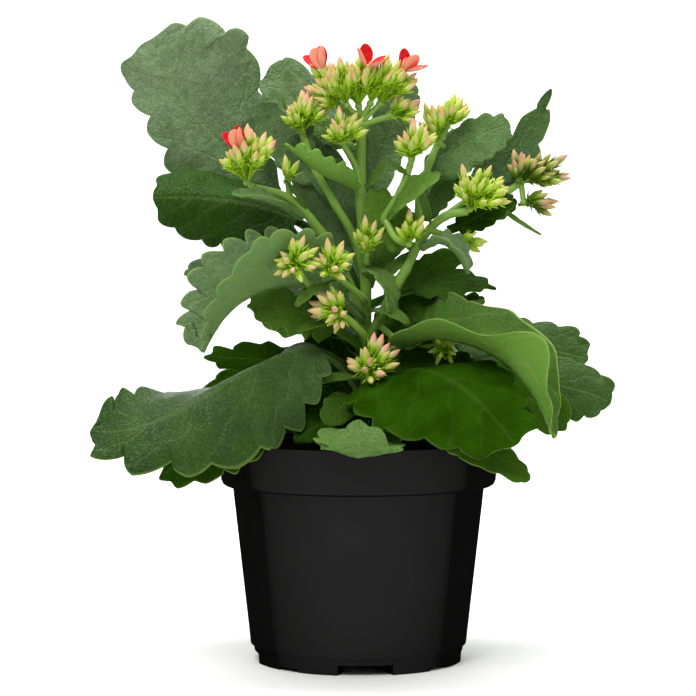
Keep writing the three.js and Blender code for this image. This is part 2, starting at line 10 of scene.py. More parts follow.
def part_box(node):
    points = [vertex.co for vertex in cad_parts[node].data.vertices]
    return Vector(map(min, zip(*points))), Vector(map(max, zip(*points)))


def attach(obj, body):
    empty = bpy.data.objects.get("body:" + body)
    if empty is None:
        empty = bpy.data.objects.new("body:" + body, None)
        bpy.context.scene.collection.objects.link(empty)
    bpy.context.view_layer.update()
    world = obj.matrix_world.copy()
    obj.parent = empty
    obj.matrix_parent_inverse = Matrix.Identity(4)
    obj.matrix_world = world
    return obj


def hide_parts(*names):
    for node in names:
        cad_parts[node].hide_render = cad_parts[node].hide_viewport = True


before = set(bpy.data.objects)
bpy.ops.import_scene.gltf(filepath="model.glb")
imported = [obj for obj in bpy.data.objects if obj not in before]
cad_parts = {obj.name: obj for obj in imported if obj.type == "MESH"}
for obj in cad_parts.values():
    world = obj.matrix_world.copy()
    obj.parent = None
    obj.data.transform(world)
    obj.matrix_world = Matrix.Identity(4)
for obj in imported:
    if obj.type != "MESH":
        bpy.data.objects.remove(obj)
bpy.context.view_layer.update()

bl_info = {
    "name": "Potted Kalanchoe",
    "version": (1, 0, 0),
    "blender": (4, 5, 0),
    "location": "View3D > Sidebar > Kalanchoe",
    "description": "Builds a flowering kalanchoe in its nursery pot",
    "category": "Add Mesh",
}

MM = 0.001
GOLDEN_ANGLE = math.radians(137.5)
GOLDEN_RATIO = 0.618

# The pot's drainage notches: width outside, width inside and height in millimetres, taken by turns, and
# the bearing of the first one, in degrees.
NOTCH_COUNT = 8
NOTCHES = ((26.5, 17, 4.3), (11, 9, 1.5))
FIRST_NOTCH = 3.5 - 90
# How finely the pot and the potting mix are turned, and how many loose crumbs lie on the mix.
POT_STEPS, SOIL_STEPS, SOIL_RINGS = 128, 144, 44
CRUMB_COUNT, CRUMB_SEED = 260, 7
# How far the calyx leans out, in degrees: on the three kinds of bud and on an open flower.
BUD_LEANS = (16, 28, 40)
FLOWER_LEAN = 28
# Radii of the stalks in the heads at their two ends, and of the knot that buds stand on, in millimetres.
HEAD_STALK = (1.5, 1.3)
SIDE_STALK = (1.3, 1.2)
KNOT_RADIUS = 1.7
# A head's materials are stalk, bud and petal, in this order.
BUD_MATERIAL, PETAL_MATERIAL = 1, 2
# An open petal's half width, as a share of its length.
PETAL_HALF = 0.34
# How ripe the parts of a bud are, from its stalk to its pink tip at 1.
RIPE_PEDICEL, RIPE_BRACTEOLE, RIPE_SEPAL, RIPE_FOOT = 0.1, 0.2, 0.28, 0.3
# The share of a saw tooth, from its notch nearer the tip of the leaf, at which it stands out furthest.
TOOTH_PEAK = 0.38
# How far a notch strays along the margin, as a share of a lobe.
NOTCH_STRAY = 0.16
# Leaves with less than this half width in millimetres have thinner blades and stalks.
FULL_LEAF_HALF = 6
# Leaves without a solid are young bracts up to this half width, and their seeds count on from this one.
YOUNG_LEAF_HALF = 5.5
FIRST_SMALL_SEED = 100
# The floor's half size, where its backdrop begins to bend up, and the bend's radius, in metres.
FLOOR_HALF, BEND_START, BEND_RADIUS = 4, 1.6, 0.8
SENSOR_WIDTH = 36

# What a leaf is like unless its row says otherwise.
# Shape: its stalk's share of its length (petiole), the upward fold and the further curl of each half in
# degrees, left half first, and another fold towards its tip where it has a fold_tip.
# Outline: widest below 1 puts the widest part nearer the stalk, a smaller bluntness makes the ends blunter,
# and flare scales the width of each half at even steps from stalk to tip.
# Material: how young and bright it is (tone), how much grey wax bloom and painted sheen lie on it at its
# stalk and at its tip (bloom), with more painted sheen on leaves high in the light, how clear its pale
# margin is (rim), how it shines (gloss), and both=1 where its two sides are coloured alike.
# Margin: the lobes along each side, how narrow they are (teeth), how far they turn from scallops to saw
# teeth (sharp), and how deep the notches between them are (cleft).
# Blade: how far the margin waves and the surface swells, in millimetres. A ruffle says instead how high the
# left and the right margin stand at even steps from stalk to tip.
COMMON_LEAF = dict(
    petiole=0.15, fold=[12, 12], curl=[0, 0], widest=0.88, bluntness=0.8, flare=[[1, 1], [1, 1]],
    tone=0.1, bloom=[0.1, 0.15], rim=0.5, gloss=0.2, both=-1, lobes=6, teeth=0.7, sharp=0.15, cleft=1.0,
    wave=0.8, swell=1.0)
# The leaves without a solid are full-grown inner ones or young bracts.
# The inner ones are painted the darkest green, bare of grey wax and dull: a painted shade for the inside of
# the plant.
INNER_SHADED_LEAF = dict(COMMON_LEAF, tone=0.0, bloom=[0.0, 0.0], gloss=0.1, sharp=0.5, cleft=1.5, teeth=0.9)
YOUNG_LEAF = dict(COMMON_LEAF, tone=0.5, lobes=3, wave=0.4, swell=0.3)


def leaf_row(name, route, half, start, end=None, common=COMMON_LEAF, **more):
    """A leaf: the CAD's name for it, its midrib's control points and half its width in millimetres.

    Its upper face looks to start at its stalk and turns to look to end at its tip.
    """
    return dict(common, name=name, route=route, half=half, face=[start, end or start], **more)


def small_leaf(route, half, *faces, **more):
    """A leaf without a solid: what its row has, but no name."""
    common = INNER_SHADED_LEAF if half > YOUNG_LEAF_HALF else YOUNG_LEAF
    return leaf_row(None, route, half, *faces, common=common, **more)


def fan_row(at, up, reach, spread, count, start=None):
    """A fan of buds: its foot, axis, reach in millimetres, half angle in degrees and how many buds it has.

    A fan apart from the end of its head's stalk has a stalk of its own, from that end or from start.
    """
    return dict(at=at, up=up, reach=reach, spread=spread, count=count, start=start)


def head_row(name, stalk, *fans, blushing, crowding, scale, age_and_shade=0):
    """A flower head: the CAD's name for it, the centre line of its stalk, its fans and its buds' looks.

    Those are how far the buds have turned from green to pink, how many of them it shows for each one that
    a fan counts, how large they are beside the common size, and how far a painted shade darkens them low
    down.
    """
    return dict(name=name, stalk=stalk, fans=fans, look=(blushing, crowding, scale, age_and_shade))


# Centre lines, leaves and heads are in millimetres, as the frame has them: Z up from the floor,
# -Y to the front, +X to the right.
STEMS = [
    {"name": "main_stem", "radius": [2.8, 2.2],
     "route": [[1, 0, 77], [2, 0, 98], [3, 0, 137], [3, 0, 167], [1, -1, 197], [1, -2, 228]]},
    {"name": "branch_left", "radius": [2.2, 1.8],
     "route": [[2, 0, 141], [-3, 0, 159], [-16, -7, 183], [-29, -11, 197], [-45, -16, 202]]},
    {"name": "branch_left_inner", "radius": [1.9, 1.5],
     "route": [[2, 0, 167], [-2, -3, 181], [-10, -6, 195], [-18, -7, 209], [-23, -6, 223]]},
    {"name": "branch_right", "radius": [2.2, 1.7],
     "route": [[3, 0, 135], [13, -6, 154], [20, -8, 167], [28, -8, 182], [37, -10, 190], [46, -12, 192]]},
    {"name": "branch_right_inner", "radius": [1.9, 1.5],
     "route": [[3, 0, 171], [11, -7, 189], [18, -10, 201], [22, -12, 212]]},
    {"name": "branch_right_upper", "radius": [1.8, 1.5],
     "route": [[26, -8, 179], [26, -2, 197], [31, 4, 214], [37, 8, 227]]},
    {"name": "branch_far_right", "radius": [1.7, 1.4],
     "route": [[37, -10, 190], [48, -3, 197], [61, 2, 199], [69, 5, 204]]},
]

# A head's last fans, where it has more than the CAD's head, fill it out.
HEADS = [
    head_row("head_left", [[-44, -16, 202], [-47, -17, 204]],
             fan_row([-47, -17, 204], [-0.1, -0.15, 1], 24, 42, 15), blushing=0.7, crowding=2.3, scale=1.0),
    head_row("head_left_small", [[-29, -11, 197], [-30, -12, 205]],
             fan_row([-30, -12, 205], [0, -0.1, 1], 11, 32, 3), blushing=0.25, crowding=1.7, scale=0.95),
    head_row("head_left_upper", [[-23, -6, 222], [-24, -6, 226]],
             fan_row([-24, -6, 226], [-0.15, -0.1, 1], 18, 50, 12), blushing=0.7, crowding=2.0, scale=0.95),
    head_row("head_centre", [[1, -2, 199], [-1, -5, 210], [-7, -12, 221]],
             fan_row([-7, -12, 221], [0, -0.2, 1], 15, 55, 10), blushing=0.55, crowding=2.0, scale=0.95),
    head_row("head_top", [[1, -2, 226], [1, -2, 233]],
             fan_row([-9, -3, 238], [-0.5, -0.15, 0.9], 20, 38, 10, start=[1, -2, 230]),
             fan_row([0, -3, 237], [-0.05, -0.15, 1], 23, 32, 11),
             fan_row([9, -2, 238], [0.4, -0.1, 0.95], 22, 34, 10, start=[1, -2, 230]),
             fan_row([14, 0, 233], [0.9, -0.1, 0.6], 14, 36, 6, start=[1, -2, 229]),
             fan_row([-5, -5, 237], [-0.28, -0.2, 1], 21, 26, 5, start=[0, -3, 232]),
             fan_row([5, -4, 238], [0.2, -0.2, 1], 22, 26, 5, start=[1, -2, 231]),
             fan_row([-8, -4, 237], [-0.9, -0.2, 0.5], 17, 30, 5), blushing=0.65, crowding=3.0, scale=0.95),
    head_row("head_right_inner", [[21.6, -12, 211], [22.5, -12, 214]],
             fan_row([22.5, -12, 214], [0, -0.15, 1], 17, 46, 11), blushing=0.65, crowding=2.0, scale=1.0),
    head_row("head_right_upper", [[37, 8, 226], [38, 8, 229]],
             fan_row([38, 8, 229], [0.15, -0.1, 1], 15, 46, 9),
             fan_row([34, 6, 222], [-0.3, -0.2, 1], 18, 34, 6, start=[37, 8, 220]),
             blushing=0.6, crowding=2.4, scale=1.0),
    head_row("head_right", [[45, -12, 192], [47, -12.5, 193]],
             fan_row([47, -12.5, 193], [0.5, -0.2, 0.9], 20, 50, 14),
             fan_row([47, -12, 194], [-0.1, -0.2, 1], 18, 30, 5), blushing=0.25, crowding=2.3, scale=0.9),
    # The far right head's buds carry a painted shade.
    head_row("head_far_right", [[68, 4.7, 203.5], [70, 5, 205]],
             fan_row([70, 5, 205], [0.8, -0.1, 0.6], 18, 36, 11),
             fan_row([71, 3, 196], [1, -0.1, 0.05], 15, 30, 6, start=[70, 5, 205]),
             fan_row([73, 4, 206], [0.9, -0.1, 0.5], 20, 30, 4, start=[70, 5, 205]),
             fan_row([69, 4, 206], [-0.2, -0.2, 1], 13, 40, 5),
             blushing=0.9, crowding=2.1, scale=1.0, age_and_shade=0.85),
    head_row("head_right_small", [[30, -9, 184], [37, -7, 182], [42, -6, 180]],
             fan_row([42, -6, 180], [1, -0.1, 0.1], 13, 32, 5), blushing=0.35, crowding=1.3, scale=0.9),
    head_row("head_middle_right", [[11, -7, 189], [16, -13, 180], [21, -17, 178]],
             fan_row([21, -17, 178], [0, -0.2, 1], 15, 38, 7), blushing=0.45, crowding=1.3, scale=0.95),
    head_row("head_middle", [[3, 0, 168], [3, -8, 171], [3, -11, 174]],
             fan_row([3, -11, 174], [0, -0.2, 1], 16, 46, 9), blushing=0.45, crowding=1.2, scale=1.0),
    head_row("head_front_left", [[3, 0, 141], [-5, -15, 147], [-18, -23, 158], [-27, -36, 169]],
             fan_row([-27, -36, 169], [0, -0.8, 0.5], 14, 75, 13), blushing=0.75, crowding=1.2, scale=1.0),
    head_row("head_front_centre", [[3, 0, 153], [0, -18, 157], [-12, -31, 167]],
             fan_row([-12, -31, 167], [0, -0.6, 0.7], 14, 62, 11), blushing=0.85, crowding=1.2, scale=1.0),
    head_row("head_front_lower", [[3, 0, 133], [3, -18, 139], [-7, -31, 149]],
             fan_row([-7, -31, 149], [-0.7, -0.6, 0.1], 15, 62, 12),
             blushing=0.85, crowding=1.4, scale=1.05),
    head_row("head_front_low", [[3, 0, 120], [4, -16, 120], [4, -28, 124]],
             fan_row([4, -28, 124], [0, -0.4, 0.9], 18, 62, 15), blushing=0.9, crowding=1.2, scale=1.15),
    head_row("head_right_low", [[8, -2, 144], [22, -10, 134], [36, -17, 136]],
             fan_row([36, -17, 136], [0, -0.2, 1], 9, 70, 6),
             fan_row([36, -18, 134.5], [0.2, -1, 0.1], 10, 75, 5), blushing=0.0, crowding=2.4, scale=0.8),
]

LEAVES = [
    leaf_row("leaf_giant_upper_left", [[2, 2, 143], [-25, 16, 183], [-54, 27, 211], [-95, 20, 265.5]],
             31, [0.3, -1, 0.4], [0.1, -1, 0.3], petiole=0.47, fold=[8, 8], curl=[-14, -10], widest=1.2,
             bluntness=0.43,
             flare=[[1, 1, 0.97, 0.84, 0.7, 0.64, 0.76], [0.5, 0.5, 0.62, 1.06, 1.4, 1.26, 1.2]],
             tone=0.0, bloom=[0.0, 1.3], rim=0.1, gloss=0.6, lobes=8, cleft=1.2, wave=1.8, swell=2.2),
    leaf_row("leaf_left_ridged", [[1.5, 1, 158], [-15, 11, 194], [-51, 3, 200], [-88, -3, 198]],
             21, [0, -0.3, 1], [-0.1, -1, 0.2], petiole=0.4, fold=[-20, -20], curl=[-15, -15],
             bluntness=0.6, tone=0.0, bloom=[0.0, 0.05], rim=0.15, gloss=0.3, lobes=7, cleft=1.2,
             wave=1.8, swell=2.0),
    leaf_row("leaf_left_trough", [[2, -2, 146], [-14, -8, 168], [-50, -35, 168], [-65, -36, 133]],
             28, [0, -0.2, 1], [-0.7, -0.7, 0.3], petiole=0.22, fold=[72, 48], curl=[0, -10], widest=0.75,
             bluntness=0.65, tone=0.2, bloom=[0.7, 0.8], rim=0.6, lobes=13, cleft=1.5, swell=1.6,
             ruffle=[[0, 0, 0, 2, 4, -1, -2, -4, 0], [0, 1, -1, 2, 1, 2, -1, 1, 0]]),
    leaf_row("leaf_left_behind", [[1.5, 2, 136], [-22, 16, 152], [-50, 20, 176], [-76, 14, 165]],
             11, [0, -0.6, 1], [0, -0.7, 1], petiole=0.35, fold=[10, 10], tone=0.0, bloom=[0.5, 0.6],
             teeth=0.9, sharp=0.5, cleft=2.0),
    leaf_row("leaf_left_middle", [[1.5, -1.5, 134], [-16, -10, 148], [-31, -16, 152], [-47, -20, 152]],
             14, [0, -0.8, 1], petiole=0.25, fold=[-6, 10], curl=[-20, 0], tone=0.4, bloom=[0.0, 0.0],
             gloss=0.1, teeth=1.0, sharp=0.85, cleft=2.4),
    leaf_row("leaf_left_back_low", [[1.5, 1, 122], [-21, 0, 128], [-42, -4, 128], [-66, -8, 130]],
             12, [0, -0.7, 1], petiole=0.3, fold=[5, 10], tone=0.05, bloom=[0.0, 0.0], gloss=0.0, lobes=5,
             teeth=1.0, sharp=0.8, cleft=2.6),
    leaf_row("leaf_large_lower_left", [[1, -2, 113], [-22, -26, 168], [-64, -60, 94], [-110, -46, 101]],
             34, [0, -0.5, 1], [-0.2, -0.9, 1], petiole=0.23, fold=[-32, -62], fold_tip=[2, 10],
             curl=[-18, -6], widest=0.72, bluntness=0.5,
             flare=[[0.5, 0.75, 0.92, 0.92, 0.88, 0.78, 0.62], [0.5, 0.8, 1, 1, 1, 1.1, 1.5]], tone=0.0,
             bloom=[0.25, 0.0], rim=0.35, gloss=0.4, lobes=9, teeth=0.85, sharp=0.35, cleft=1.5,
             swell=2.2, ruffle=[[0, 3, 2, -4, -7, -5, -3, 0, 0], [0, 1, -1, 1, 0, 1, -1, 1, 0]]),
    leaf_row("leaf_under_lower_left", [[1, -2, 103], [-25, -24, 114], [-52, -42, 106], [-82, -44, 81]],
             14, [0, -0.4, 1], [0, -0.9, 0.8], petiole=0.48, fold=[0, 0], curl=[-10, 0],
             flare=[[1.4, 1.4, 1.2], [1.4, 1.3, 1.0]], bloom=[0.0, 0.0], gloss=0.1, teeth=1.0, sharp=0.7,
             cleft=2.2),
    leaf_row("leaf_front_curled", [[2, -2, 99], [0, -36, 116], [-1, -92, 72], [0, -66, 107]],
             19, [0, 0, 1], [0, 1, 0.2], petiole=0.3, fold=[2, 14], curl=[10, 10], tone=0.45,
             bloom=[0.3, 0.3], rim=0.35, both=1, lobes=7, teeth=0.8, sharp=0.1, cleft=1.1),
    leaf_row("leaf_front_small", [[2.5, -2, 108.5], [1, -22, 117], [-6, -36, 114], [-13, -46, 103]],
             8, [0, -0.5, 1], [0, -1, 0.6], petiole=0.3, fold=[8, 8], bloom=[0.0, 0.0], lobes=5),
    leaf_row("leaf_large_front_right", [[3.5, -2, 112], [17, -24, 133], [40, -57, 130], [62, -71, 97]],
             36, [0, -0.2, 1], [0.1, -1, 0.3], petiole=0.2, fold=[-12, 2], curl=[-14, -6], bluntness=0.38,
             flare=[[0.9, 1.0, 0.8, 0.62, 0.7], [0.9, 1.05, 1.12, 0.76, 0.66]], tone=0.0,
             bloom=[0.0, 0.0], rim=0.1, gloss=0.0, lobes=8, sharp=0.4, swell=1.6,
             ruffle=[[0, 0, 0, 0, 0, 0, 0, 0, 0], [0, 0, -1, -1, -2, -3, -2, 0, 0]]),
    leaf_row("leaf_under_front_right", [[4, -1.5, 105], [20, -26, 110], [44, -56, 100], [69, -58, 82]],
             13, [0, -0.3, 1], [0, -0.8, 0.8], petiole=0.4, fold=[0, 0], flare=[[0.85, 0.7], [0.85, 0.7]],
             tone=0.35, bloom=[0.0, 0.0], gloss=0.0, lobes=7, teeth=0.8, sharp=0.6),
    leaf_row("leaf_right_trough", [[4.5, -1, 127], [28, -20, 148], [66, -44, 142], [80, -46, 98]],
             22, [0, -0.1, 1], [1, -0.3, 0.3], petiole=0.18, fold=[58, 8], fold_tip=[18, 66],
             curl=[0, 10], bluntness=0.55, flare=[[2.8, 1.5, 1.0, 0.75, 0.4], [1, 0.95, 0.9, 0.85, 0.8]],
             tone=0.3, bloom=[0.05, 0.05], rim=0.9, cleft=0.5,
             ruffle=[[0, 8, -3, -4, 3, 8, 3, 0, 0], [0, 0, 0, 1, -4, 7, -5, -8, 0]]),
    leaf_row("leaf_right_upper", [[4.5, 1.5, 137], [31, 18, 142], [70, 27, 136], [101, 20, 128]],
             18, [0, -0.6, 1], [0.2, -1, 0.6], petiole=0.4, fold=[4, 4], curl=[-10, -10], bluntness=0.6,
             tone=0.05, bloom=[0.15, 0.15], rim=0.4, lobes=8, sharp=0.4, cleft=1.2, wave=2.2, swell=2.0),
    leaf_row("leaf_right_tip", [[4.5, 1.5, 118], [35, 6, 121], [84, 0, 124], [108, -4, 110]],
             16, [0, -0.6, 1], [0.2, -1, 0.3], petiole=0.4, fold=[0, 0], curl=[-10, -10], bluntness=0.65,
             tone=0.05, bloom=[0.15, 0.15], rim=0.4, lobes=7, sharp=0.4, cleft=1.2, wave=2.2, swell=2.2),
    leaf_row("leaf_right_lower", [[4.5, 0, 108], [35, -4, 126], [68, -10, 124], [88, -12, 99]],
             15, [0, -0.6, 1], [0.3, -1, 0.3], petiole=0.35, fold=[0, 0], curl=[-10, -10], tone=0.2,
             bloom=[0.0, 0.0], gloss=0.0, sharp=0.4, wave=1.5, swell=2.0),
    leaf_row("leaf_right_inner", [[3.5, 2, 110], [18, 12, 124], [36, 14, 124], [62, 8, 119]],
             14, [0, -0.7, 1], [0, -0.8, 1], petiole=0.25, fold=[5, 5], tone=0.0, bloom=[0.0, 0.0],
             gloss=0.0, cleft=1.5),
    leaf_row("leaf_rolled", [[27, -8, 177], [33, -19, 182], [41, -20, 179], [46, -17, 165]],
             8, [0, -0.4, 1], [0.3, -0.4, 1], petiole=0.25, fold=[20, 20], curl=[50, 50], bluntness=0.6,
             tone=0.2, bloom=[0.9, 0.9], lobes=5, teeth=1.0, sharp=0.6, cleft=1.8, swell=0.6),
    leaf_row("leaf_right_middle", [[4.5, 1, 152], [22, 6, 160], [40, 2, 165], [59, -4, 159]],
             10, [0, -0.6, 1], [0, -0.8, 1], petiole=0.35, fold=[0, 0], bluntness=1.2,
             flare=[[1.1, 1.1, 1.1, 0.9, 0.7], [1.2, 1.2, 1.3, 1.0, 0.8]], bloom=[0.0, 0.0], gloss=0.1,
             lobes=5, teeth=1.0, sharp=0.9, cleft=2.4),
    leaf_row("leaf_upper_right", [[28, 0, 200], [34, 8, 214], [48, 12, 226], [66, 12, 230]],
             10, [-0.3, -1, 0.6], [-0.2, -1, 0.5], petiole=0.2, fold=[8, 8], bluntness=0.4,
             flare=[[0.8, 1, 1], [1.2, 1.5, 1.3]], tone=0.2, bloom=[0.4, 0.4], rim=0.3, lobes=7,
             cleft=1.8, swell=1.5),
    leaf_row("leaf_upper_far_right", [[60, 3, 199], [57, 14, 206], [68, 24, 214], [85, 26, 247]],
             12, [-0.4, -1, 0.6], [-0.45, -0.9, 0.4], petiole=0.12, fold=[15, 15], curl=[10, 10],
             widest=0.55, flare=[[1.2, 1.25, 0.9, 0.8, 0.8], [1.8, 2.1, 1.75, 1.35, 1.0]], tone=0.0,
             bloom=[0.2, 0.2], lobes=5, teeth=1.0, sharp=0.6, cleft=2.2),
    leaf_row("leaf_right_dark", [[44, -6, 194], [50, 0, 188], [60, 6, 189], [68, 10, 198]],
             6, [0, -0.7, 1], petiole=0.2, fold=[6, 6], bloom=[0.0, 0.0], gloss=0.0, lobes=4, sharp=0.8,
             cleft=1.5),
    leaf_row("leaf_top_right", [[2.5, 2, 180], [4, 16, 205], [11, 21, 226], [25, 18, 248]],
             12, [-0.4, -1, 0.4], [-0.4, -1, 0.3], petiole=0.25, fold=[14, 14], bloom=[0.6, 0.6],
             rim=0.3),
    leaf_row("leaf_top_left", [[1, 0, 212], [-2, 18, 222], [-14, 29, 234], [-39, 28, 257]],
             12.5, [0.2, -1, 0.4], [0.1, -1, 0.3], petiole=0.3, fold=[6, 6], bluntness=0.4,
             flare=[[1.2, 1.3, 1.3], [1.0, 1.0, 1.1]], tone=0.05, bloom=[0.9, 0.9], rim=0.3, lobes=5),
    leaf_row("leaf_behind_left_branches", [[1.5, 1.5, 160], [-4, 10, 182], [-10, 9, 204], [-30, 5, 225]],
             15, [0.3, -1, 0.4], [0.2, -1, 0.3], petiole=0.2, fold=[4, 4], tone=0.05, bloom=[0.5, 0.5],
             rim=0.4),
    leaf_row("bract_right", [[13, -8, 190], [18, -16, 196], [26, -20, 202], [34, -18, 208]],
             6, [-0.4, -0.6, 0.7], fold=[15, 15], curl=[10, 10], flare=[[1.2, 1.3, 1.2], [1.6, 1.6, 1.4]],
             tone=0.6, bloom=[0.1, 0.1], lobes=4, teeth=0.35, cleft=4.0),
    leaf_row("bract_left", [[0, -2, 203], [-6, -14, 204], [-16, -22, 207], [-31, -24, 220]],
             8, [0, 0.2, 1], [-0.3, 0, 1], fold=[50, 20], curl=[20, 10], tone=0.6, bloom=[0.1, 0.1],
             teeth=0.5, cleft=4.0),
    leaf_row("leaf_inner_right", [[4.5, 1, 160], [8, 5, 172], [14, 7, 182], [21, 6, 190]],
             8, [-0.3, -1, 0.5], petiole=0.2, fold=[5, 5], tone=0.6, bloom=[0.1, 0.1], lobes=5,
             cleft=1.6),
    leaf_row("bract_strap", [[4, -2, 164], [9, -9, 169], [14, -13, 160], [17, -13, 146]],
             3, [0.5, -0.3, 1], [1, -0.4, 0.3], petiole=0.1, fold=[10, 10], tone=0.6, bloom=[0.4, 0.4],
             lobes=0),
    leaf_row("bract_head_left", [[-24, -9, 190], [-34, -21, 197], [-44, -26, 198], [-53, -25, 199]],
             6, [0, -0.4, 1], fold=[20, 20], curl=[10, 10], tone=0.45, bloom=[0.6, 0.6], lobes=4),
    leaf_row("leaf_back_left", [[1.5, 2, 116], [-20, 32, 132], [-50, 57, 118], [-76, 57, 100]],
             25, [0, 0.2, 1], [-0.3, 0.3, 1], petiole=0.3, fold=[10, 10], curl=[-10, -10], tone=0.0,
             bloom=[0.0, 0.0], gloss=0.0, both=1),
    leaf_row("leaf_back_centre_left", [[2, 2, 130], [-12, 36, 168], [-24, 60, 170], [-34, 70, 136]],
             24, [0, 0, 1], [-0.2, 1, 0.3], petiole=0.3, fold=[10, 10], curl=[-10, -10]),
    leaf_row("leaf_back_centre_right", [[3, 2, 125], [12, 40, 150], [24, 64, 146], [32, 70, 112]],
             25, [0, 0, 1], [0.2, 1, 0.3], petiole=0.3, fold=[10, 10], curl=[-10, -10]),
    leaf_row("leaf_back_right", [[4, 1.5, 116], [30, 38, 142], [60, 56, 138], [80, 56, 108]],
             23, [0, 0.4, 1], [0.5, 0.8, 0.5], petiole=0.3, fold=[10, 10], curl=[-10, -10]),
]


# Opening flowers: the head each one is on, its foot, its mouth, and for each petal its bearing round the
# flower (0 is +X, 90 is +Y) and how far it leans out, in degrees.
FLOWERS = [
    {"head": "head_top", "foot": [-13, -6, 245], "mouth": [-16, -8, 253.5],
     "petals": [[135, 44], [262, 8], [325, 14], [60, 24]]},
    {"head": "head_top", "foot": [3, -7, 245], "mouth": [4, -10, 254],
     "petals": [[118, 22], [30, 62], [318, 58], [205, 30]]},
    {"head": "head_top", "foot": [17, -4, 244], "mouth": [20, -6, 252.5],
     "petals": [[128, 26], [20, 58], [330, 52], [300, 24]]},
    {"head": "head_left", "foot": [-47, -18, 211], "mouth": [-50, -21, 218.5],
     "petals": [[150, 26], [275, 6], [335, 14], [50, 18]]},
]

# What the leaves' material reads from each point of the skin.
LEAF_LAYERS = ("across", "blade", "above", "tone", "bloom", "rim", "gloss")

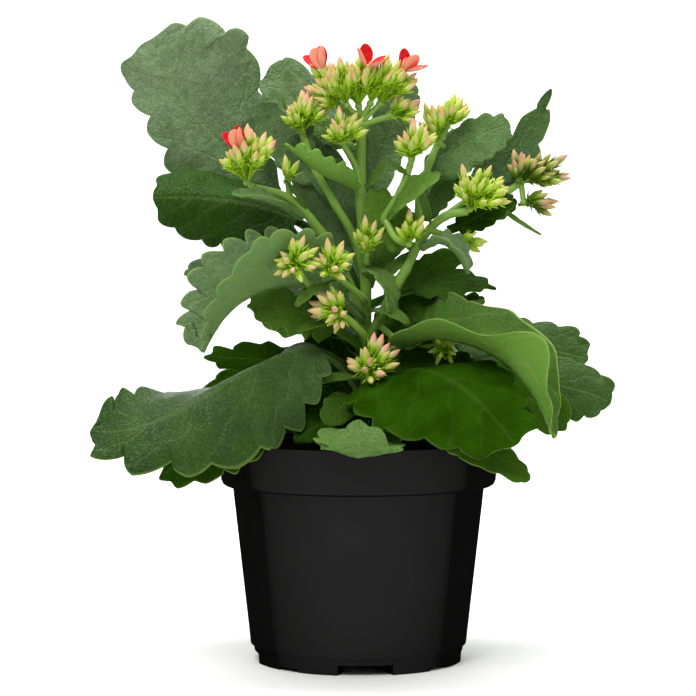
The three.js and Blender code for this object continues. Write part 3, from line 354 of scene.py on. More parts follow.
# Small leaves and bracts without a solid of their own: on the branches, under the heads and low round the
# stem.
SMALL_LEAVES = [
    small_leaf([[-20, -8, 190], [-24, -12, 196], [-28, -14, 201], [-31, -15, 205]], 1.6,
               [0.4, -0.6, 0.6]),
    small_leaf([[0, 2, 218], [-12, 14, 226], [-24, 18, 234], [-33, 18, 243]], 5.5, [0.2, -1, 0.4],
               [0.1, -1, 0.3]),
    small_leaf([[22, -12, 207], [18, -14, 209], [15, -15, 211], [12, -15, 214]], 1.6, [0, -1, 0.6]),
    small_leaf([[3, -3, 203], [6, -7, 205], [9, -9, 208], [12, -10, 213]], 3, [-0.4, -0.8, 0.6]),
    small_leaf([[31, -8, 186], [29, -13, 192], [27, -15, 196], [26, -15, 200]], 2.2, [0.3, -1, 0.4]),
    small_leaf([[56, 1, 198], [62, -4, 192], [70, -6, 186], [78, -6, 182]], 1.7, [0, -0.6, 1]),
    small_leaf([[5, -4, 150], [10, -12, 151], [16, -16, 149], [21, -18, 144]], 4, [0, -0.6, 1],
               [0.5, -0.6, 0.6]),
    small_leaf([[-6, -16, 148], [-12, -24, 147], [-18, -30, 144], [-26, -33, 142]], 3, [0, -0.6, 1]),
    small_leaf([[3, -12, 121], [-6, -22, 123], [-14, -28, 122], [-22, -32, 119]], 3.5, [0, -0.6, 1]),
    small_leaf([[2, -2, 96], [-8, -18, 112], [-16, -24, 112], [-27, -28, 100]], 13, [0, -0.8, 1],
               [0, -1, 0.6]),
    small_leaf([[4, -2, 96], [14, -14, 110], [24, -20, 112], [38, -24, 106]], 12, [0, -0.8, 1],
               [0, -1, 0.6]),
    small_leaf([[0, -3, 92], [-8, -24, 106], [-16, -34, 106], [-26, -42, 96]], 9, [0, -0.8, 1],
               [0, -1, 0.6]),
    small_leaf([[1, 2, 100], [-16, 2, 112], [-28, 2, 120], [-42, 2, 116]], 13, [0, -0.8, 1],
               [0, -1, 0.6]),
    small_leaf([[2, 3, 98], [4, 2, 106], [-6, -2, 116], [-14, -4, 128]], 12, [0, -1, 0.2]),
    small_leaf([[4, 3, 100], [16, 2, 112], [28, 0, 122], [34, -2, 134]], 11, [0, -1, 0.2]),
    small_leaf([[30, 0, 140], [38, -2, 147], [46, -4, 150], [54, -6, 154]], 4, [0, -0.7, 1]),
    small_leaf([[-10, -26, 163], [-18, -34, 160], [-22, -38, 157], [-26, -40, 152]], 2.5, [0, -0.6, 1],
               [0, -0.8, 0.6]),
    small_leaf([[2, -3, 167], [9, -10, 169], [15, -14, 160], [14, -15, 146]], 6.5, [0.3, -0.4, 1],
               [1, -0.7, 0.3], tone=0.6, bloom=[0.3, 0.3], lobes=5),
    small_leaf([[24, -5, 176], [18, -5, 180], [12, -6, 188], [5, -6, 202]], 11, [0, -1, 0.7], tone=0.5,
               lobes=5),
    small_leaf([[4, 4, 138], [14, 6, 149], [28, 6, 153], [42, 4, 155]], 9, [0, -1, 0.5], tone=0.25),
    small_leaf([[-14, -1, 200], [-24, 8, 212], [-35, 10, 226], [-43, 10, 240]], 10, [0, -1, 0.2],
               tone=0.1, bloom=[0.6, 0.6]),
    small_leaf([[-20, -6, 218], [-24, 0, 232], [-28, 4, 243], [-31, 6, 253]], 5, [0, -1, 0.3], tone=0.2,
               bloom=[0.7, 0.7]),
    small_leaf([[8, -3, 163], [12, -4, 166], [18, -4, 170], [24, -4, 175]], 3, [-0.3, -1, 0.5]),
    small_leaf([[2, 6, 118], [-4, 14, 135], [-12, 18, 150], [-20, 18, 164]], 13, [0, -1, 0.2]),
    small_leaf([[4, 5, 122], [12, 12, 136], [22, 14, 146], [32, 14, 152]], 9, [0, -1, 0.4]),
    small_leaf([[20, 8, 138], [32, 12, 146], [42, 12, 151], [55, 12, 155]], 6, [0, -1, 0.6],
               [0, -1, 0.4]),
    small_leaf([[38, -6, 184], [47, -6, 187], [56, -6, 192], [66, -6, 199]], 7, [0, -1, 0.4]),
    small_leaf([[2, 4, 98], [-6, 10, 112], [-14, 12, 126], [-22, 10, 140]], 14, [0, -1, 0.1]),
    small_leaf([[4, 4, 98], [14, 8, 112], [26, 10, 124], [38, 8, 134]], 14, [0, -1, 0.3]),
    small_leaf([[4, -2, 98], [24, -12, 118], [48, -26, 121], [72, -34, 106]], 12, [0, -0.8, 1],
               [0.4, -0.8, 0.8]),
    small_leaf([[0, 4, 92], [-14, 20, 104], [-28, 34, 104], [-44, 46, 98]], 11, [0, -0.6, 1],
               [0, -0.8, 1]),
    small_leaf([[2, 4, 92], [12, 22, 106], [18, 34, 106], [24, 46, 98]], 11, [0, -0.6, 1], [0, -0.8, 1]),
    small_leaf([[8, -8, 122], [20, -15, 127], [34, -20, 129], [50, -22, 127]], 8, [0, -1, 0.4], sharp=0.8,
               cleft=2.0),
    small_leaf([[-4, 4, 100], [-14, 7, 105], [-26, 9, 104], [-40, 9, 100]], 8, [0, -1, 0.5]),
    small_leaf([[12, 4, 156], [22, 8, 163], [34, 10, 169], [48, 10, 176]], 7, [0, -1, 0.4], tone=0.15),
    small_leaf([[24, 8, 186], [30, 10, 194], [38, 12, 203], [46, 12, 214]], 6.5, [0, -1, 0.4], tone=0.2,
               bloom=[0.3, 0.3]),
]


def linear(code):
    """Turn an sRGB hex colour into the linear colour that shaders use."""
    channels = [int(code[i:i + 2], 16) / 255 for i in (1, 3, 5)]
    return [c / 12.92 if c <= 0.04045 else ((c + 0.055) / 1.055) ** 2.4 for c in channels] + [1.0]


def lerp(a, b, share):
    """The value at a share of the way from a to b."""
    return a + (b - a) * share


def smoothstep(value, low, high):
    """Rise smoothly from 0 where the value is low to 1 where it is high."""
    share = min(max((value - low) / (high - low), 0), 1)
    return share * share * (3 - 2 * share)


def colour_property(name, description, code):
    return FloatVectorProperty(
        name=name, description=description, default=linear(code), size=4, min=0, max=1, subtype="COLOR")


def length_property(name, description, millimetres):
    return FloatProperty(
        name=name, description=description, default=millimetres * MM, min=0, precision=5, unit="LENGTH")


def power_property(name, description, watts):
    return FloatProperty(name=name, description=description, default=watts, unit="POWER")


class KALANCHOE_PG_pot(bpy.types.PropertyGroup):
    """Sizes and colours of the nursery pot and of the potting mix in it."""

    height: length_property("Height", "Floor to rim", 94)
    rim_radius: length_property("Rim radius", "Axis to the outside of the rim", 60)
    collar_height: length_property("Collar height", "Height of the wider band under the rim", 19)
    body_top_radius: length_property("Body top radius", "Outside of the wall under the collar", 54.1)
    body_foot_radius: length_property("Body foot radius", "Outside of the wall above the foot", 46.4)
    foot_height: length_property("Foot height", "Height of the stepped foot", 7.3)
    foot_radius: length_property("Foot radius", "Outside of the foot ring", 44.5)
    foot_ring_width: length_property("Foot ring width", "Width of the ring that the pot stands on", 10)
    floor_underside: length_property("Floor underside", "Height of the floor's underside", 4.6)
    wall: length_property("Wall", "Thickness of the moulded wall", 1.3)
    edge: length_property("Edge rounding", "Rounding of the moulded edges", 0.35)
    soil_top: length_property("Potting mix level", "Height of the potting mix at the stem", 85)
    soil_dome: length_property("Potting mix dome", "Fall of the potting mix from stem to rim", 2)
    crumb: length_property("Crumb size", "Size of the coarse crumbs", 2.4)
    plastic: colour_property("Plastic", "Colour of the moulded pot", "#0e0e0e")
    peat: colour_property("Peat", "Colour of the moist potting mix", "#2b1f16")


class KALANCHOE_PG_leaves(bpy.types.PropertyGroup):
    """Sizes and colours of the leaves and bracts."""

    thickness: length_property("Thickness", "Thickness of the blade beside the midrib", 1.6)
    margin: length_property("Margin thickness", "Thickness of the blade near its margin", 0.9)
    petiole_half_width: length_property("Petiole half width", "Half the width of the leaf stalk", 2.1)
    petiole_thickness: length_property("Petiole thickness", "Thickness of the leaf stalk", 3.2)
    lobe_depth: FloatProperty(
        name="Lobe depth", description="Depth of the notches as a share of the half width",
        default=0.12, min=0, max=0.3, subtype="FACTOR")
    upper: colour_property("Upper side", "Full-grown upper side", "#2a4e07")
    shade: colour_property("Deep green", "Darkest blotches of the upper side", "#1c3a02")
    young: colour_property("Young green", "Young leaves and bracts", "#6e9a35")
    # Grey wax bloom, and a painted sheen where light falls on the upper side.
    wax_and_sheen: colour_property("Wax bloom", "Grey wax on the upper side", "#829b72")
    under: colour_property("Underside", "Paler lower side", "#6c993c")
    edge: colour_property("Margin", "Pale line along the margin", "#8aaa54")


class KALANCHOE_PG_stems(bpy.types.PropertyGroup):
    """Sizes and colours of the stem and its branches."""

    swelling: FloatProperty(
        name="Swelling", description="Thickening where branches and leaves part",
        default=0.14, min=0, max=0.5, subtype="FACTOR")
    lower: colour_property("Lower stem", "Older stem near the potting mix", "#52801e")
    upper: colour_property("Upper stem", "Young stem under the heads", "#86ad44")


class KALANCHOE_PG_heads(bpy.types.PropertyGroup):
    """Sizes and colours of the flower heads."""

    bud_length: length_property("Bud length", "Foot of the calyx to the bud's tip", 9)
    bud_radius: length_property("Bud radius", "Widest radius of a bud", 1.75)
    pedicel_radius: length_property("Pedicel radius", "Radius of the thread-like bud stalk", 0.5)
    sepal_length: length_property("Sepal length", "Length of the pointed sepals", 5.6)
    petal_length: length_property("Petal length", "Length of an open petal", 10)
    fullness: FloatProperty(
        name="Fullness", description="More or fewer buds in every head", default=1.0, min=0.3, max=2)
    calyx: colour_property("Calyx", "Sepals and bud stalks", "#b2da30")
    cream: colour_property("Cream", "Belly of a bud", "#e4d8a6")
    pink: colour_property("Pink", "Tip of a ripe bud", "#e88f79")
    inside: colour_property("Petal inside", "Upper face of an open petal", "#cf0416")
    outside: colour_property("Petal outside", "Back of an open petal", "#f49c80")


class KALANCHOE_PG_stage(bpy.types.PropertyGroup):
    """The camera, the pale floor and the soft lights."""

    camera_height: length_property("Camera height", "Height of the camera above the floor", 165)
    camera_distance: length_property("Camera distance", "Camera to the pot's axis", 950)
    camera_side: FloatProperty(
        name="Camera side", description="Camera to the right of the axis", default=-4.5 * MM,
        unit="LENGTH")
    camera_pitch: FloatProperty(
        name="Camera pitch", description="Downward tilt of the camera",
        default=math.radians(1.89), unit="ROTATION")
    focal_pixels: FloatProperty(
        name="Focal length", description="Focal length in widths of a 696 pixel image",
        default=2213 / 696)
    key_power: power_property("Key light", "Power of the key light", 8)
    fill_power: power_property("Fill light", "Power of the fill light", 1.2)
    overhead_power: power_property("Overhead light", "Power of the large overhead light", 52)
    surroundings: FloatProperty(
        name="Surroundings", description="Brightness of the white surroundings", default=0.14, min=0)
    floor: colour_property("Floor", "Colour of the floor and backdrop", "#f7f7f6")


# Settings of a node that mixes its colour inputs 6 and 7 by its input 0; its colour is output 2.
BLEND = dict(output=2, data_type="RGBA")


def add_node(tree, kind, inputs=(), output=0, ramp=(), **settings):
    """Add a node with its properties and inputs, link inputs that are sockets, and return one output."""
    made = tree.nodes.new(kind)
    for name, value in settings.items():
        setattr(made, name, value)
    for spot, (position, colour) in enumerate(ramp):
        stops = made.color_ramp.elements
        stop = stops[spot] if spot < len(stops) else stops.new(position)
        stop.position = position
        stop.color = colour
    for name, value in dict(inputs).items():
        if isinstance(value, bpy.types.NodeSocket):
            tree.links.new(value, made.inputs[name])
        else:
            made.inputs[name].default_value = value
    return made.outputs[output] if made.outputs else made


def new_material(name):
    """An empty node material, and its tree."""
    material = bpy.data.materials.new(name)
    material.use_nodes = True
    material.node_tree.nodes.clear()
    return material, material.node_tree


def finish_material(tree, inputs):
    """Add the surface shader with its inputs and link it to the output."""
    shader = add_node(tree, "ShaderNodeBsdfPrincipled", inputs)
    add_node(tree, "ShaderNodeOutputMaterial", {"Surface": shader})


def moulded_polypropylene(sizes):
    """Injection-moulded black polypropylene: even, slightly satin, with a very fine orange-peel skin."""
    material, tree = new_material("moulded_black_polypropylene")
    place = add_node(tree, "ShaderNodeTexCoord", output=3)
    # The mould's spark-eroded grain is about 0.3 mm; it is drawn at 0.7 mm so that it shows.
    grain = add_node(tree, "ShaderNodeTexNoise", {"Vector": place, "Scale": 1 / (0.7 * MM), "Detail": 3})
    # Handling and potting leave faint paler smudges some 25 mm across.
    smudge = add_node(tree, "ShaderNodeTexNoise", {"Vector": place, "Scale": 1 / (25 * MM), "Detail": 5})
    dust = add_node(
        tree, "ShaderNodeMapRange", {"Value": smudge, "From Min": 0.45, "From Max": 0.8, "To Max": 0.35})
    colour = add_node(
        tree, "ShaderNodeMix", {0: dust, 6: sizes.plastic, 7: linear("#141312")}, **BLEND)
    rough = add_node(
        tree, "ShaderNodeMapRange", {"Value": smudge, "From Min": 0.3, "From Max": 0.7,
                                     "To Min": 0.42, "To Max": 0.56})
    bump = add_node(tree, "ShaderNodeBump", {"Height": grain, "Strength": 0.25, "Distance": 0.05 * MM})
    # The satin skin shines where it faces the eye and dies away towards the sides.
    facing = add_node(tree, "ShaderNodeLayerWeight", {"Blend": 0.5}, output=1)
    shine = add_node(
        tree, "ShaderNodeMapRange", {"Value": facing, "From Min": 0.02, "From Max": 0.4,
                                     "To Min": 0.19, "To Max": 0})
    finish_material(tree, {
        "Base Color": colour, "Roughness": rough, "Normal": bump, "IOR": 1.49,
        "Specular IOR Level": shine})
    return material


def moist_peat(sizes):
    """Moist peat with bark fibre: matt crumbs of two browns with paler strands between them."""
    material, tree = new_material("moist_peat")
    place = add_node(tree, "ShaderNodeTexCoord", output=3)
    # Crumbs are about 2.2 mm across, and fibres of bark 0.9 mm.
    crumbs = add_node(
        tree, "ShaderNodeTexVoronoi", {"Vector": place, "Scale": 1 / (2.2 * MM), "Randomness": 1.0})
    fibre = add_node(
        tree, "ShaderNodeTexNoise", {"Vector": place, "Scale": 1 / (0.9 * MM), "Detail": 6,
                                     "Distortion": 2.5})
    tint = add_node(tree, "ShaderNodeValToRGB", {"Fac": fibre}, ramp=[
        (0.35, linear("#17100b")), (0.55, sizes.peat), (0.75, linear("#5a4430"))])
    height = add_node(tree, "ShaderNodeMath", {0: crumbs, 1: fibre}, operation="ADD")
    bump = add_node(tree, "ShaderNodeBump", {"Height": height, "Strength": 0.9, "Distance": 0.8 * MM})
    finish_material(tree, {"Base Color": tint, "Roughness": 0.95, "Normal": bump, "IOR": 1.4})
    return material


def fleshy_stem(colours):
    """Fleshy kalanchoe stem: smooth, waxy light green, darker when older, faintly streaked lengthwise."""
    material, tree = new_material("fleshy_kalanchoe_stem")
    place = add_node(tree, "ShaderNodeTexCoord", output=3)
    age = add_node(tree, "ShaderNodeAttribute", output=2, attribute_name="along")
    stretch = add_node(tree, "ShaderNodeMapping", {"Vector": place, "Scale": (1.0, 1.0, 0.12)})
    # Vessels under the skin show as streaks about 0.6 mm wide.
    streak = add_node(
        tree, "ShaderNodeTexNoise", {"Vector": stretch, "Scale": 1 / (0.6 * MM), "Detail": 2})
    tint = add_node(
        tree, "ShaderNodeMix", {0: age, 6: colours.lower, 7: colours.upper}, **BLEND)
    share = add_node(
        tree, "ShaderNodeMapRange", {"Value": streak, "From Min": 0.4, "From Max": 0.75, "To Max": 0.3})
    colour = add_node(
        tree, "ShaderNodeMix", {0: share, 6: tint, 7: linear("#8cb562")}, **BLEND)
    bump = add_node(tree, "ShaderNodeBump", {"Height": streak, "Strength": 0.3, "Distance": 0.15 * MM})
    finish_material(tree, {
        "Base Color": colour, "Roughness": 0.42, "Normal": bump, "IOR": 1.42,
        "Subsurface Weight": 0.15, "Subsurface Radius": (1.0, 1.6, 0.5), "Subsurface Scale": 0.6 * MM})
    return material


def waxy_leaf(colours):
    """Kalanchoe leaf: a waxy cuticle over thick blotched green flesh, its veins and its margin pale."""
    material, tree = new_material("waxy_kalanchoe_leaf")
    place = add_node(tree, "ShaderNodeTexCoord", output=3)
    across, blade, above, tone, bloom, rim, gloss = (
        add_node(tree, "ShaderNodeAttribute", output=2, attribute_name=name) for name in LEAF_LAYERS)
    # Blotches 16 mm across, a mottle of 3.5 mm between the small veins, and skin cells drawn at 0.8 mm.
    blotch = add_node(tree, "ShaderNodeTexNoise", {"Vector": place, "Scale": 1 / (16 * MM), "Detail": 4})
    mottle = add_node(
        tree, "ShaderNodeTexNoise", {"Vector": place, "Scale": 1 / (3.5 * MM), "Detail": 5,
                                     "Distortion": 0.6})
    cells = add_node(tree, "ShaderNodeTexNoise", {"Vector": place, "Scale": 1 / (0.8 * MM), "Detail": 2})
    # Shallow creases run out from the midrib, about twenty to the blade.
    run = add_node(tree, "ShaderNodeCombineXYZ", {"X": across, "Y": blade})
    spread = add_node(tree, "ShaderNodeMapping", {"Vector": run, "Scale": (1.6, 20.0, 1.0)})
    crease = add_node(
        tree, "ShaderNodeTexNoise", {"Vector": spread, "Scale": 1.0, "Detail": 3, "Distortion": 1.2})
    aside = add_node(tree, "ShaderNodeMath", {0: across}, operation="ABSOLUTE")
    # Side veins leave the midrib forwards, six to the blade, and wander a little.
    forward = add_node(tree, "ShaderNodeMath", {0: blade, 1: 6.5}, operation="MULTIPLY")
    swept = add_node(tree, "ShaderNodeMath", {0: aside, 1: -1.5, 2: forward}, operation="MULTIPLY_ADD")
    wander = add_node(tree, "ShaderNodeMath", {0: blotch, 1: 0.9, 2: swept}, operation="MULTIPLY_ADD")
    saw = add_node(tree, "ShaderNodeMath", {0: wander, 1: 0.5}, operation="PINGPONG")
    side_vein = add_node(
        tree, "ShaderNodeMapRange", {"Value": saw, "From Min": 0.0, "From Max": 0.09,
                                     "To Min": 0.6, "To Max": 0})
    midrib = add_node(
        tree, "ShaderNodeMapRange", {"Value": aside, "From Min": 0.015, "From Max": 0.07,
                                     "To Min": 1, "To Max": 0})
    veins = add_node(tree, "ShaderNodeMath", {0: side_vein, 1: midrib}, operation="MAXIMUM")
    margin = add_node(tree, "ShaderNodeMapRange", {"Value": aside, "From Min": 0.955, "From Max": 0.99})
    body = add_node(tree, "ShaderNodeMapRange", {"Value": blotch, "From Min": 0.35, "From Max": 0.65})
    full = add_node(
        tree, "ShaderNodeMix", {0: body, 6: colours.shade, 7: colours.upper}, **BLEND)
    # Tone turns a leaf toward young green; the inner leaves keep the darkest green as a painted shade.
    age_and_shade = add_node(tree, "ShaderNodeMix", {0: tone, 6: full, 7: colours.young}, **BLEND)
    # Painted sheen and grey wax bloom: the upper side is painted toward grey green, mottled, as far as the
    # leaf's share of them says.
    wax_and_sheen = add_node(
        tree, "ShaderNodeMapRange", {"Value": mottle, "From Min": 0.3, "From Max": 0.7, "To Min": 0.75})
    wax_and_sheen_cover = add_node(tree, "ShaderNodeMath", {0: wax_and_sheen, 1: bloom}, operation="MULTIPLY")
    thin = add_node(tree, "ShaderNodeMath", {0: wax_and_sheen_cover, 1: 0.75}, operation="MULTIPLY", use_clamp=True)
    top = add_node(tree, "ShaderNodeMix", {0: thin, 6: age_and_shade, 7: colours.wax_and_sheen}, **BLEND)
    clear = add_node(tree, "ShaderNodeMapRange", {"Value": rim, "To Min": 0.03, "To Max": 0.22})
    pale = add_node(tree, "ShaderNodeMath", {0: veins, 1: clear}, operation="MULTIPLY")
    pore = add_node(tree, "ShaderNodeMath", {0: mottle, 1: cells}, operation="MULTIPLY")
    dark = add_node(
        tree, "ShaderNodeMapRange", {"Value": pore, "From Min": 0.2, "From Max": 0.32,
                                     "To Min": 0.18, "To Max": 0})
    grainy = add_node(tree, "ShaderNodeMix", {0: dark, 6: top, 7: colours.shade}, **BLEND)
    veined = add_node(tree, "ShaderNodeMix", {0: pale, 6: grainy, 7: colours.edge}, **BLEND)
    lower = add_node(
        tree, "ShaderNodeMix", {0: tone, 6: colours.under, 7: colours.young}, **BLEND)
    # The underside is painted greyer by the same wax bloom and painted sheen.
    underside_wax_and_sheen = add_node(tree, "ShaderNodeMath", {0: wax_and_sheen_cover, 1: 0.9}, operation="MULTIPLY")
    dulled = add_node(
        tree, "ShaderNodeMix", {0: underside_wax_and_sheen, 6: lower, 7: linear("#7a9768")}, **BLEND)
    ribs = add_node(tree, "ShaderNodeMath", {0: veins, 1: 0.35}, operation="MULTIPLY")
    beneath = add_node(
        tree, "ShaderNodeMix", {0: ribs, 6: dulled, 7: linear("#93b066")}, **BLEND)
    upward = add_node(tree, "ShaderNodeMapRange", {"Value": above, "From Min": -0.2, "From Max": 0.2})
    both = add_node(tree, "ShaderNodeMix", {0: upward, 6: beneath, 7: veined}, **BLEND)
    rimmed = add_node(tree, "ShaderNodeMath", {0: margin, 1: rim}, operation="MULTIPLY")
    colour = add_node(tree, "ShaderNodeMix", {0: rimmed, 6: both, 7: colours.edge}, **BLEND)
    satin = add_node(
        tree, "ShaderNodeMapRange", {"Value": mottle, "From Min": 0.3, "From Max": 0.7,
                                     "To Min": 0.26, "To Max": 0.42})
    # The wax glints in specks a cell or two wide, where it is rubbed smooth.
    speck = add_node(
        tree, "ShaderNodeMapRange", {"Value": cells, "From Min": 0.48, "From Max": 0.66, "To Min": 0.12})
    shine = add_node(tree, "ShaderNodeMath", {0: gloss, 1: speck}, operation="MULTIPLY")
    relief = add_node(tree, "ShaderNodeMath", {0: mottle, 1: 0.6, 2: cells}, operation="MULTIPLY_ADD")
    creased = add_node(tree, "ShaderNodeMath", {0: crease, 1: 1.6, 2: relief}, operation="MULTIPLY_ADD")
    sunk = add_node(tree, "ShaderNodeMath", {0: veins, 1: -0.7, 2: creased}, operation="MULTIPLY_ADD")
    bump = add_node(tree, "ShaderNodeBump", {"Height": sunk, "Strength": 0.8, "Distance": 0.65 * MM})
    finish_material(tree, {
        "Base Color": colour, "Roughness": satin, "Normal": bump, "IOR": 1.45,
        "Specular IOR Level": shine,
        "Subsurface Weight": 0.12, "Subsurface Radius": (0.8, 1.6, 0.3), "Subsurface Scale": 0.5 * MM})
    return material


def bud_tissue(colours):
    """Flower bud: waxy, yellow-green at the calyx, cream at the belly and pink where the petals show."""
    material, tree = new_material("waxy_flower_bud")
    place = add_node(tree, "ShaderNodeTexCoord", output=3)
    ripe, blush, age_and_shade = (
        add_node(tree, "ShaderNodeAttribute", output=2, attribute_name=name)
        for name in ("ripe", "blush", "age_and_shade"))
    speck = add_node(tree, "ShaderNodeTexNoise", {"Vector": place, "Scale": 1 / (1.5 * MM), "Detail": 3})
    shift = add_node(tree, "ShaderNodeMath", {0: speck, 1: 0.3, 2: ripe}, operation="MULTIPLY_ADD")
    level = add_node(tree, "ShaderNodeMath", {0: shift, 1: 0.15}, operation="SUBTRACT")
    foot = linear("#92c023")
    green = add_node(tree, "ShaderNodeValToRGB", {"Fac": level}, ramp=[
        (0.0, foot), (0.3, colours.calyx), (0.55, linear("#aecb3e")),
        (0.8, linear("#bfcf60")), (1.0, linear("#cdc679"))])
    warm = add_node(tree, "ShaderNodeValToRGB", {"Fac": level}, ramp=[
        (0.0, foot), (0.35, colours.calyx), (0.58, colours.cream),
        (0.75, linear("#e6b399")), (1.0, colours.pink)])
    fresh = add_node(tree, "ShaderNodeMix", {0: blush, 6: green, 7: warm}, **BLEND)
    # Painted shade: a head's buds are painted dark green from the calyx up, and their tips hardly at all.
    low = add_node(
        tree, "ShaderNodeMapRange", {"Value": level, "From Min": 1.0, "From Max": 0.35, "To Min": 0.1})
    dulled = add_node(tree, "ShaderNodeMath", {0: age_and_shade, 1: low}, operation="MULTIPLY")
    colour = add_node(
        tree, "ShaderNodeMix", {0: dulled, 6: fresh, 7: linear("#4a6410")}, **BLEND)
    bump = add_node(tree, "ShaderNodeBump", {"Height": speck, "Strength": 0.25, "Distance": 0.1 * MM})
    finish_material(tree, {
        "Base Color": colour, "Roughness": 0.45, "Normal": bump, "IOR": 1.42,
        "Specular IOR Level": 0.25,
        "Subsurface Weight": 0.12, "Subsurface Radius": (1.4, 1.2, 0.6), "Subsurface Scale": 0.5 * MM})
    return material


def petal_velvet(colours):
    """Open petal: velvety red on its upper face and paler salmon on its back, veined lengthwise."""
    material, tree = new_material("velvety_petal")
    place = add_node(tree, "ShaderNodeTexCoord", output=3)
    above = add_node(tree, "ShaderNodeAttribute", output=2, attribute_name="above")
    vein = add_node(tree, "ShaderNodeTexNoise", {"Vector": place, "Scale": 1 / (0.7 * MM), "Detail": 3})
    upward = add_node(tree, "ShaderNodeMapRange", {"Value": above, "From Min": -0.1, "From Max": 0.25})
    plain = add_node(
        tree, "ShaderNodeMix", {0: upward, 6: colours.outside, 7: colours.inside}, **BLEND)
    share = add_node(
        tree, "ShaderNodeMapRange", {"Value": vein, "From Min": 0.45, "From Max": 0.75, "To Max": 0.08})
    colour = add_node(
        tree, "ShaderNodeMix", {0: share, 6: plain, 7: linear("#ffc2ac")}, **BLEND)
    bump = add_node(tree, "ShaderNodeBump", {"Height": vein, "Strength": 0.25, "Distance": 0.08 * MM})
    finish_material(tree, {
        "Base Color": colour, "Roughness": 0.5, "Normal": bump, "IOR": 1.4, "Specular IOR Level": 0.15,
        "Subsurface Weight": 0.1, "Subsurface Radius": (2.0, 0.8, 0.6), "Subsurface Scale": 0.6 * MM})
    return material


def rotation(degrees, axis):
    return Matrix.Rotation(math.radians(degrees), 4, axis)


def to_mesh(name, bm):
    """Write a bmesh into a new mesh, and free it."""
    mesh = bpy.data.meshes.new(name)
    bm.to_mesh(mesh)
    bm.free()
    return mesh


def new_object(name, data):
    """Put a mesh, a light or a camera into the scene as an object."""
    made = bpy.data.objects.new(name, data)
    bpy.context.scene.collection.objects.link(made)
    return made


def new_piece(name, bm, materials, slot, *nodes):
    """Finish a bmesh as a smooth piece that rides on the plant and stands for its CAD nodes."""
    bmesh.ops.recalc_face_normals(bm, faces=bm.faces[:])
    for face in bm.faces:
        face.smooth = True
    mesh = to_mesh(name, bm)
    for material in materials:
        mesh.materials.append(material)
    piece = new_object(name, mesh)
    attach(piece, "root")
    if nodes:
        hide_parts(*nodes)
    return piece


def spin_outline(bm, outline, steps):
    """Turn an outline of (radius, height) points round the vertical axis into a closed skin."""
    dots = [bm.verts.new((radius, 0, height)) for radius, height in outline]
    lines = [bm.edges.new(pair) for pair in zip(dots, dots[1:])]
    bmesh.ops.spin(
        bm, geom=dots + lines, cent=(0, 0, 0), axis=(0, 0, 1), dvec=(0, 0, 0), angle=2 * math.pi,
        steps=steps, use_merge=True, use_normal_flip=False, use_duplicate=False)
    bmesh.ops.remove_doubles(bm, verts=bm.verts[:], dist=0.005 * MM)


def cut_notches(pot, sizes):
    """Cut the drainage notches through the foot ring: large and small ones by turns, wider outside."""
    bm = bmesh.new()
    inner = sizes.foot_radius - sizes.foot_ring_width - MM
    outer = sizes.foot_radius + 4 * MM
    for index in range(NOTCH_COUNT):
        outside, inside, height = NOTCHES[index % 2]
        wedge = bmesh.ops.create_cube(bm, size=1)["verts"]
        for corner in wedge:
            wide = outside if corner.co.x > 0 else inside
            corner.co.y *= wide * MM
            corner.co.x = outer if corner.co.x > 0 else inner
            corner.co.z = height * MM if corner.co.z > 0 else -MM
        turn = rotation(FIRST_NOTCH + 360 / NOTCH_COUNT * index, "Z")
        bmesh.ops.transform(bm, matrix=turn, verts=wedge)
    cutters = new_object("notch_cutters", to_mesh("notch_cutters", bm))
    cut = pot.modifiers.new("notches", "BOOLEAN")
    cut.object = cutters
    cut.solver = "EXACT"
    shape = bpy.data.meshes.new_from_object(pot.evaluated_get(bpy.context.evaluated_depsgraph_get()))
    pot.modifiers.remove(cut)
    pot.data = shape
    bpy.data.objects.remove(cutters)


class KALANCHOE_OT_pot(bpy.types.Operator):
    """Mould the nursery pot: tapered wall, deep collar, stepped foot with notches, raised floor."""

    bl_idname = "kalanchoe.pot"
    bl_label = "Nursery pot"

    def execute(self, context):
        sizes = context.scene.kalanchoe_pot
        body_top = sizes.height - sizes.collar_height
        ring_inside = sizes.foot_radius - sizes.foot_ring_width
        top, foot, wall = sizes.rim_radius, sizes.foot_height, sizes.wall
        outline = [
            (0, sizes.floor_underside), (ring_inside, sizes.floor_underside), (ring_inside, 0),
            (sizes.foot_radius, 0), (sizes.foot_radius + 0.5 * MM, foot - 0.2 * MM),
            (sizes.body_foot_radius, foot), (sizes.body_top_radius, body_top),
            (top - 2.8 * MM, body_top + 0.2 * MM), (top - 1.7 * MM, body_top + 0.9 * MM),
            (top - 1.0 * MM, body_top + 2.4 * MM), (top, sizes.height),
            (top - wall, sizes.height), (top - wall - 0.9 * MM, body_top + 3.4 * MM),
            (sizes.body_top_radius - wall, body_top + 1.4 * MM),
            (sizes.body_foot_radius - wall, foot + wall), (sizes.body_foot_radius - wall - 2 * MM, foot),
            (0, foot)]
        bm = bmesh.new()
        spin_outline(bm, outline, POT_STEPS)
        pot = new_piece("nursery_pot", bm, [moulded_polypropylene(sizes)], "black_plastic", "pot")
        cut_notches(pot, sizes)
        rounding = pot.modifiers.new("moulded_edges", "BEVEL")
        rounding.width = sizes.edge
        rounding.segments = 3
        rounding.limit_method = "ANGLE"
        rounding.angle_limit = math.radians(28)
        evened = pot.modifiers.new("even_shading", "WEIGHTED_NORMAL")
        evened.keep_sharp = True
        return {"FINISHED"}


